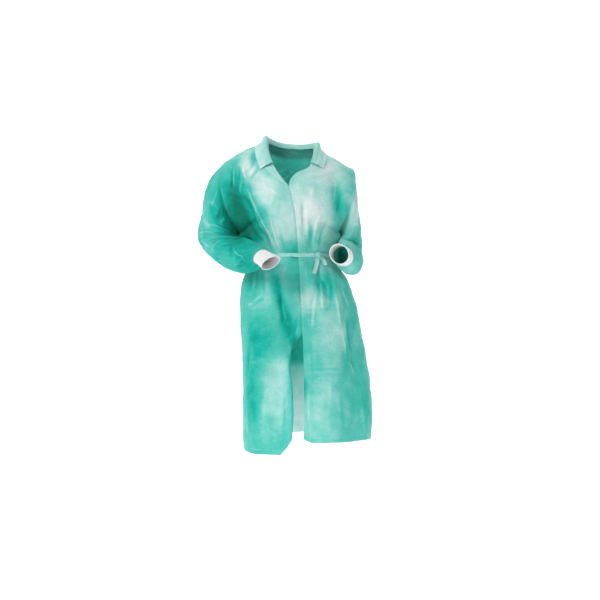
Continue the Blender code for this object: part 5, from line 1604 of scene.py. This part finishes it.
class GOWN_OT_collar(bpy.types.Operator):
    """Make the turned-down collar"""
    bl_idname = "gown.collar"
    bl_label = "Collar"

    def execute(self, context):
        sizes, colours = context.scene.gown_sizes, context.scene.gown_colours
        grids, normals, _ = gown_body(sizes.creases, sizes.crumple)
        points, lean = neck_line(grids, normals)
        points = soften_line(points, COLLAR_SOFTEN["points"])
        into, up = edge_frame(points, soften_line(lean, COLLAR_SOFTEN["lean"]))
        into = unit(soften_line(into, COLLAR_SOFTEN["into"]))
        grid = self.rolled(points, into, up, surface_tree(grids))
        side = grid_normals({"collar": (grid, False)})["collar"]
        if np.sum(side[-1] * up) < 0.0:
            side = -side
        waves = np.array([noise.noise(Vector(p) * COLLAR_WAVE_SCALE) for p in grid.reshape(-1, 3)])
        fall = ease(COLLAR_TURN, 1.0, np.linspace(0.0, 1.0, len(grid)))[:, None]
        grid = grid + side * (waves.reshape(grid.shape[:2]) * COLLAR_WAVE * fall)[..., None]
        across, down = steps_along(grid, 1), steps_along(grid, 0)
        edge = down[-1:] - down
        end = np.minimum(across, across[:, -1:] - across)
        bead = COLLAR_BEAD * np.exp(-(np.minimum(edge, end) / COLLAR_BEAD_REACH) ** 2)
        outer = grid + side * (2.0 * sizes.cloth + bead)[..., None]
        tone = (COLLAR_TONE + LEAF_TONE * fall) * np.ones(across.shape)
        fields = {"tone": tone, "edge_m": edge, "end_m": end, "foot_m": down}
        obj = build_wall("collar_cloth", outer, grid, False, fields)
        dress(obj, "collar", trim_material("collar", colours))
        return {"FINISHED"}

    def rolled(self, points, into, up, tree):
        """The collar's rows: up the stand, over the roll and down the leaf, which lies on the panels."""
        share = np.linspace(0.0, 1.0, len(points))
        rise = ease(0.0, COLLAR_RISE, np.minimum(share, 1.0 - share))
        stand = COLLAR_STAND * (COLLAR_END + (1.0 - COLLAR_END) * rise)
        rows = [points + into * out + up * (stand * height)[:, None] for out, height in COLLAR_ROLL]
        rows[0] = points - into * COLLAR_CLEAR
        for part, lift in COLLAR_LEAF:
            guess = points + into * (COLLAR_FALL * part)
            row = np.array([lay_on(tree, spot, lift) for spot in guess])
            rows.append(soften_line(row, COLLAR_SOFTEN["leaf"]))
        return finer(finer(np.array(rows), 0), 0)


def row_spots(grid, normals, height, distances):
    """Places on a panel at the given distances in from its first column, at the edge's given height."""
    heights = grid[:, 0, 2]
    low = int(np.clip(np.searchsorted(heights, height) - 1, 0, len(heights) - 2))
    part = (height - heights[low]) / (heights[low + 1] - heights[low])
    row = grid[low] + (grid[low + 1] - grid[low]) * part
    lean = normals[low] + (normals[low + 1] - normals[low]) * part
    along = steps_along(row, 0)
    return read_along(distances, along, row), unit(read_along(distances, along, lean))


class GOWN_OT_edge_band(bpy.types.Operator):
    """Make the turned-back band on the under front's edge"""
    bl_idname = "gown.edge_band"
    bl_label = "Edge band"

    def execute(self, context):
        sizes, colours = context.scene.gown_sizes, context.scene.gown_colours
        grids, normals, _ = gown_body(sizes.creases, sizes.crumple)
        table = named(EDGE_BAND, BAND_COLUMNS)
        first = 2 * SKIRT_ROWS
        grid, lean = grids["front_right"][0][first:], normals["front_right"][first:]
        share = np.linspace(0.0, 1.0, BAND_STEPS + 1)
        under, over = [], []
        for height in np.linspace(table["z"][0], table["z"][-1], BAND_ROWS):
            width = np.interp(height, table["z"], table["width"])
            spots, leans = row_spots(grid, lean, height, BAND_INSET + width * share)
            puff = BAND_PUFF * np.sin(np.pi * share) ** BAND_PUFF_SHAPE
            under.append(spots + leans * BAND_LIFT)
            over.append(spots + leans * (BAND_LIFT + sizes.cloth + puff)[..., None])
        over, under = np.array(over), np.array(under)
        across = steps_along(over, 1)
        tone = np.full(across.shape, BAND_TONE)
        fields = {"tone": tone, "edge_m": across, "inner_m": across[:, -1:] - across}
        obj = build_wall("edge_band_right_cloth", over, under, False, fields)
        dress(obj, "edge_band_right", trim_material("edge_band", colours))
        return {"FINISHED"}


class GOWN_OT_cuffs(bpy.types.Operator):
    """Make the two rib-knit cuffs"""
    bl_idname = "gown.cuffs"
    bl_label = "Cuffs"

    def execute(self, context):
        sizes, colours = context.scene.gown_sizes, context.scene.gown_colours
        material = knit_material("knit_cuffs", colours)
        for name in ARMHOLES:
            count = CUFF_RIBS * RIB_POINTS
            angles = np.arange(count) * 2.0 * np.pi / count
            table = named((SLEEVE_TABLES[name][-1],) + CUFF_TABLES[name], RING_COLUMNS)
            start, end = ring_points(table, angles)
            parts = np.linspace(0.0, 1.0, CUFF_ROWS)
            rings = np.array([start + (end - start) * part for part in parts])
            away = unit(rings - rings.mean(axis=1, keepdims=True))
            rib = (0.5 + 0.5 * np.cos(np.arange(count) * 2.0 * np.pi / RIB_POINTS)) ** RIB_SHAPE
            rib = rib[None, :] * np.ones((CUFF_ROWS, 1))
            vary = 1.0 + CUFF_PINCH_VARY * np.sin(3.0 * angles + 1.0)
            pinch = CUFF_PINCH * np.sin(np.pi * parts)[:, None] * vary[None, :]
            lip = CUFF_LIP * np.exp(-((1.0 - parts) / CUFF_LIP_REACH) ** 2)[:, None]
            height = sizes.rib_height * (rib - RIB_SUNK) - pinch + lip
            outer = rings + away * height[..., None]
            inner = rings - away * (sizes.knit + pinch)[..., None]
            piece = "cuff_" + name
            obj = build_wall(piece + "_knit", outer, inner, True, {"rib": rib})
            dress(obj, piece, material)
        return {"FINISHED"}


def plan_hull(points):
    """The outline that a taut strip takes round a set of plan points, anticlockwise."""
    points = sorted(set(map(tuple, points)))
    hull = []
    for ordered in (points, points[::-1]):
        chain = []
        for p in ordered:
            while len(chain) > 1:
                (ax, ay), (bx, by) = chain[-2], chain[-1]
                if (bx - ax) * (p[1] - ay) - (by - ay) * (p[0] - ax) > 0.0:
                    break
                chain.pop()
            chain.append(p)
        hull += chain[:-1]
    return np.array(hull)


def waist_ring(grids, width):
    """The taut outline of the panels under the tie, evenly spaced, and its outward directions."""
    spots = []
    for name in PANELS:
        grid = grids[name][0][:2 * SKIRT_ROWS + 1]
        low, high = grid[:-1], grid[1:]
        for height in WAIST + width * np.linspace(-0.5, 0.5, TIE_LEVELS):
            part = (height - low[..., 2]) / (high[..., 2] - low[..., 2])
            crossed = (part >= 0.0) & (part <= 1.0)
            spots.extend((low + (high - low) * part[..., None])[crossed][:, :2])
    hull = plan_hull(spots)
    loop = np.concatenate((hull, hull[:1]))
    along = steps_along(loop, 0)
    count = int(along[-1] / TIE_STEP)
    at = np.arange(count) * along[-1] / count
    ring = np.stack([np.interp(at, along, loop[:, axis]) for axis in range(2)], axis=-1)
    tangent = unit(np.roll(ring, -2, axis=0) - np.roll(ring, 2, axis=0))
    return ring, np.stack((tangent[:, 1], -tangent[:, 0]), axis=-1)


class GOWN_OT_tie(bpy.types.Operator):
    """Make the waist tie, its knot and its two free ends"""
    bl_idname = "gown.tie"
    bl_label = "Waist tie"

    def execute(self, context):
        sizes, colours = context.scene.gown_sizes, context.scene.gown_colours
        grids, _, _ = gown_body(sizes.creases, sizes.crumple)
        ring, away = waist_ring(grids, sizes.tie_width)
        self.make_band(ring, away, sizes, trim_material("tie", colours))
        self.make_knot(ring, away, colours)
        tree = surface_tree(grids)
        ends = trim_material("tie_ends", colours)
        for name in TIE_ENDS:
            self.make_end(name, tree, sizes, ends)
        return {"FINISHED"}

    def make_band(self, ring, away, sizes, material):
        """The band round the waist, softly folded along its length."""
        turn = np.arange(len(ring)) * 2.0 * np.pi / len(ring)
        sway = sum(height * np.sin(waves * turn + start) for height, waves, start in TIE_SWAY)
        skins = []
        for lift in (TIE_LIFT + sizes.cloth * 2.0, TIE_LIFT):
            rows = []
            for part in np.linspace(-0.5, 0.5, TIE_COLUMNS):
                ripple = TIE_RIPPLE * np.sin(TIE_RIPPLES * turn + TIE_RIPPLE_LEAN * part)
                puff = TIE_PUFF * math.cos(part * math.pi) + ripple
                plan = ring + away * (lift + puff * (lift > TIE_LIFT))[:, None]
                rows.append(np.column_stack((plan, WAIST + sizes.tie_width * part + sway)))
            skins.append(np.array(rows))
        up = steps_along(skins[0], 0)
        fields = {"tone": np.full(up.shape, TIE_TONE), "edge_m": up, "other_m": up[-1:] - up}
        obj = build_wall("waist_tie_cloth", skins[0], skins[1], True, fields)
        dress(obj, "waist_tie", material)

    def make_knot(self, ring, away, colours):
        """The knot: a soft lump with one turn of the tie across it, shaped from a cube."""
        low, high = (np.array(corner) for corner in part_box("tie_knot"))
        centre = (low + high) / 2.0
        front = np.where(ring[:, 1] < 0.0)[0]
        spot = front[np.argmin(np.abs(ring[front, 0] - KNOT_X))]
        lean = math.atan2(away[spot, 0], -away[spot, 1])
        bpy.ops.object.select_all(action="DESELECT")
        bpy.ops.mesh.primitive_cube_add(size=1.0, location=(0.0, 0.0, 0.0))
        obj = bpy.context.active_object
        obj.name = obj.data.name = "tie_knot_cloth"
        bpy.ops.object.mode_set(mode="EDIT")
        bpy.ops.mesh.subdivide(number_cuts=KNOT_CUTS)
        bpy.ops.transform.tosphere(value=KNOT_ROUND)
        bpy.ops.mesh.select_all(action="DESELECT")
        bpy.ops.object.mode_set(mode="OBJECT")
        for face in obj.data.polygons:
            near = abs(face.center.x + KNOT_TURN_LEAN * face.center.z) < KNOT_TURN
            face.select = near and face.normal.x ** 2 < KNOT_TURN_FACING
        bpy.ops.object.mode_set(mode="EDIT")
        bpy.ops.mesh.select_mode(type="FACE")
        bpy.ops.mesh.extrude_region_shrink_fatten(TRANSFORM_OT_shrink_fatten={"value": KNOT_TURN_RAISE})
        bpy.ops.object.mode_set(mode="OBJECT")
        for vertex in obj.data.vertices:
            x, y, z = (part * size for part, size in zip(vertex.co, KNOT_SIZE))
            x *= 1.0 - KNOT_TAPER * abs(vertex.co.z)
            vertex.co = (centre[0] + x * math.cos(lean) - y * math.sin(lean),
                         centre[1] + x * math.sin(lean) + y * math.cos(lean), centre[2] + z)
        subdivide = obj.modifiers.new("soft", "SUBSURF")
        subdivide.levels = subdivide.render_levels = 1
        bpy.ops.object.modifier_apply(modifier="soft")
        obj.data.uv_layers.active.name = "cloth_m"
        scale_uv(obj, KNOT_UV)
        tone = obj.data.attributes.new("tone", "FLOAT", "POINT")
        tone.data.foreach_set("value", np.full(len(obj.data.vertices), TIE_TONE, np.float32))
        shade(obj)
        dress(obj, "tie_knot", trim_material("knot", colours))

    def make_end(self, name, tree, sizes, material):
        """A free end of the tie, which hangs on the front from the knot."""
        route = np.array(TIE_ENDS[name]["route"])
        for _ in range(END_REFINES):
            route = finer(route, 0)
        along = unit(np.gradient(route, axis=0))
        across = np.stack((-along[:, 1], along[:, 0]), axis=-1)
        hang = np.linspace(0.0, 1.0, len(route))
        front = []
        for (x, z) in route:
            hit, _, _, _ = tree.ray_cast(Vector((x, -1.0, z)), Vector((0.0, 1.0, 0.0)))
            front.append(hit.y)
        front = soften_line(np.array(front)[:, None], END_SOFTEN)[:, 0] - TIE_ENDS[name]["lift"]
        rows = []
        for part in np.linspace(-0.5, 0.5, TIE_COLUMNS):
            x = route[:, 0] + across[:, 0] * part * sizes.tie_width
            z = route[:, 1] + across[:, 1] * part * sizes.tie_width
            curl = END_CURL * (2.0 * part) ** 2 * hang + END_TWIST * part * np.sin(END_TWIST_WAVE * hang)
            rows.append(np.column_stack((x, front - curl, z)))
        grid = np.array(rows)
        outer = grid - np.array((0.0, 2.0 * sizes.cloth, 0.0))
        up = steps_along(grid, 0)
        fields = {"tone": np.full(up.shape, TIE_END_TONE), "edge_m": up, "other_m": up[-1:] - up}
        uv = np.stack((up, steps_along(grid, 1)), axis=-1)
        obj = build_wall(name + "_cloth", outer, grid, False, fields, uv)
        dress(obj, name, material)


def scale_uv(obj, size):
    """Scale a piece's UV map to metres."""
    layer = obj.data.uv_layers["cloth_m"]
    flat = np.empty(2 * len(layer.data), np.float32)
    layer.data.foreach_get("uv", flat)
    layer.data.foreach_set("uv", flat * size)


class GOWN_OT_stage(bpy.types.Operator):
    """Make the pale floor and backdrop, the soft light and the camera"""
    bl_idname = "gown.stage"
    bl_label = "Stage"

    def execute(self, context):
        scene = context.scene
        self.make_floor(scene.gown_colours.floor)
        for name, (place, size, power) in LAMPS.items():
            self.add_light(name, place, size, power)
        world = bpy.data.worlds.new("studio")
        world.use_nodes = True
        background = world.node_tree.nodes["Background"]
        background.inputs["Color"].default_value = (1.0, 1.0, 1.0, 1.0)
        background.inputs["Strength"].default_value = WORLD_LIGHT
        scene.world = world
        scene.view_settings.view_transform = "Standard"
        camera = bpy.data.cameras.new("camera")
        camera.sensor_width = SENSOR
        camera.lens = SENSOR * -CAMERA_Y / (PICTURE * PIXEL)
        obj = bpy.data.objects.new("camera", camera)
        obj.location = (CAMERA_X, CAMERA_Y, CAMERA_Z)
        obj.rotation_euler = (math.radians(90.0), 0.0, 0.0)
        scene.collection.objects.link(obj)
        scene.camera = obj
        return {"FINISHED"}

    def make_floor(self, colour):
        """A floor that curves up into a backdrop."""
        profile = [(-FLOOR_REACH, FLOOR_Z), (FLOOR_BACK, FLOOR_Z)]
        for turn in np.radians(np.arange(BEND_STEP, 90.0 + BEND_STEP / 2.0, BEND_STEP)):
            profile.append((FLOOR_BACK + FLOOR_BEND * math.sin(turn),
                            FLOOR_Z + FLOOR_BEND - FLOOR_BEND * math.cos(turn)))
        profile.append((FLOOR_BACK + FLOOR_BEND, BACKDROP_TOP))
        points = [(x, y, z) for x in (-FLOOR_REACH, FLOOR_REACH) for y, z in profile]
        count = len(profile)
        faces = [(i, i + count, i + count + 1, i + 1) for i in range(count - 1)]
        mesh = bpy.data.meshes.new("floor")
        mesh.from_pydata(points, [], faces)
        obj = bpy.data.objects.new("floor", mesh)
        bpy.context.scene.collection.objects.link(obj)
        shade(obj)
        recipe = Recipe("floor_paper")
        speckle = recipe.grain(recipe.place(), SPECKLE_SCALE, 2.0)
        tint = recipe.blend(speckle * SPECKLE, opaque(colour), FLOOR_TINT)
        recipe.shader.inputs["Emission Color"].default_value = (1.0, 1.0, 1.0, 1.0)
        recipe.shader.inputs["Emission Strength"].default_value = FLOOR_GLOW
        mesh.materials.append(recipe.finish(tint, FLOOR_ROUGH))

    def add_light(self, name, place, size, power):
        """A large soft lamp that faces the gown's middle."""
        light = bpy.data.lights.new(name, "AREA")
        light.shape = "DISK"
        light.size = size
        light.energy = power
        obj = bpy.data.objects.new(name, light)
        obj.location = place
        aim = Vector(LAMP_AIM) - Vector(place)
        obj.rotation_euler = aim.to_track_quat("-Z", "Y").to_euler()
        bpy.context.scene.collection.objects.link(obj)


OPERATORS = (GOWN_OT_body, GOWN_OT_collar, GOWN_OT_edge_band, GOWN_OT_cuffs, GOWN_OT_tie, GOWN_OT_stage)


class GOWN_PT_panel(bpy.types.Panel):
    """Lists the gown's sizes, colours and pieces"""
    bl_idname = "GOWN_PT_panel"
    bl_label = "Surgical gown"
    bl_space_type = "VIEW_3D"
    bl_region_type = "UI"
    bl_category = "Gown"

    def draw(self, context):
        layout = self.layout
        for group in (context.scene.gown_sizes, context.scene.gown_colours):
            for key in group.__annotations__:
                layout.prop(group, key)
        for operator in OPERATORS:
            layout.operator(operator.bl_idname)


CLASSES = (GownSizes, GownColours) + OPERATORS + (GOWN_PT_panel,)


def register():
    for cls in CLASSES:
        bpy.utils.register_class(cls)
    bpy.types.Scene.gown_sizes = PointerProperty(type=GownSizes)
    bpy.types.Scene.gown_colours = PointerProperty(type=GownColours)


def unregister():
    del bpy.types.Scene.gown_sizes
    del bpy.types.Scene.gown_colours
    for cls in reversed(CLASSES):
        bpy.utils.unregister_class(cls)


def main():
    register()
    bpy.ops.gown.body()
    bpy.ops.gown.collar()
    bpy.ops.gown.edge_band()
    bpy.ops.gown.cuffs()
    bpy.ops.gown.tie()
    bpy.ops.gown.stage()


if __name__ == "__main__":
    main()
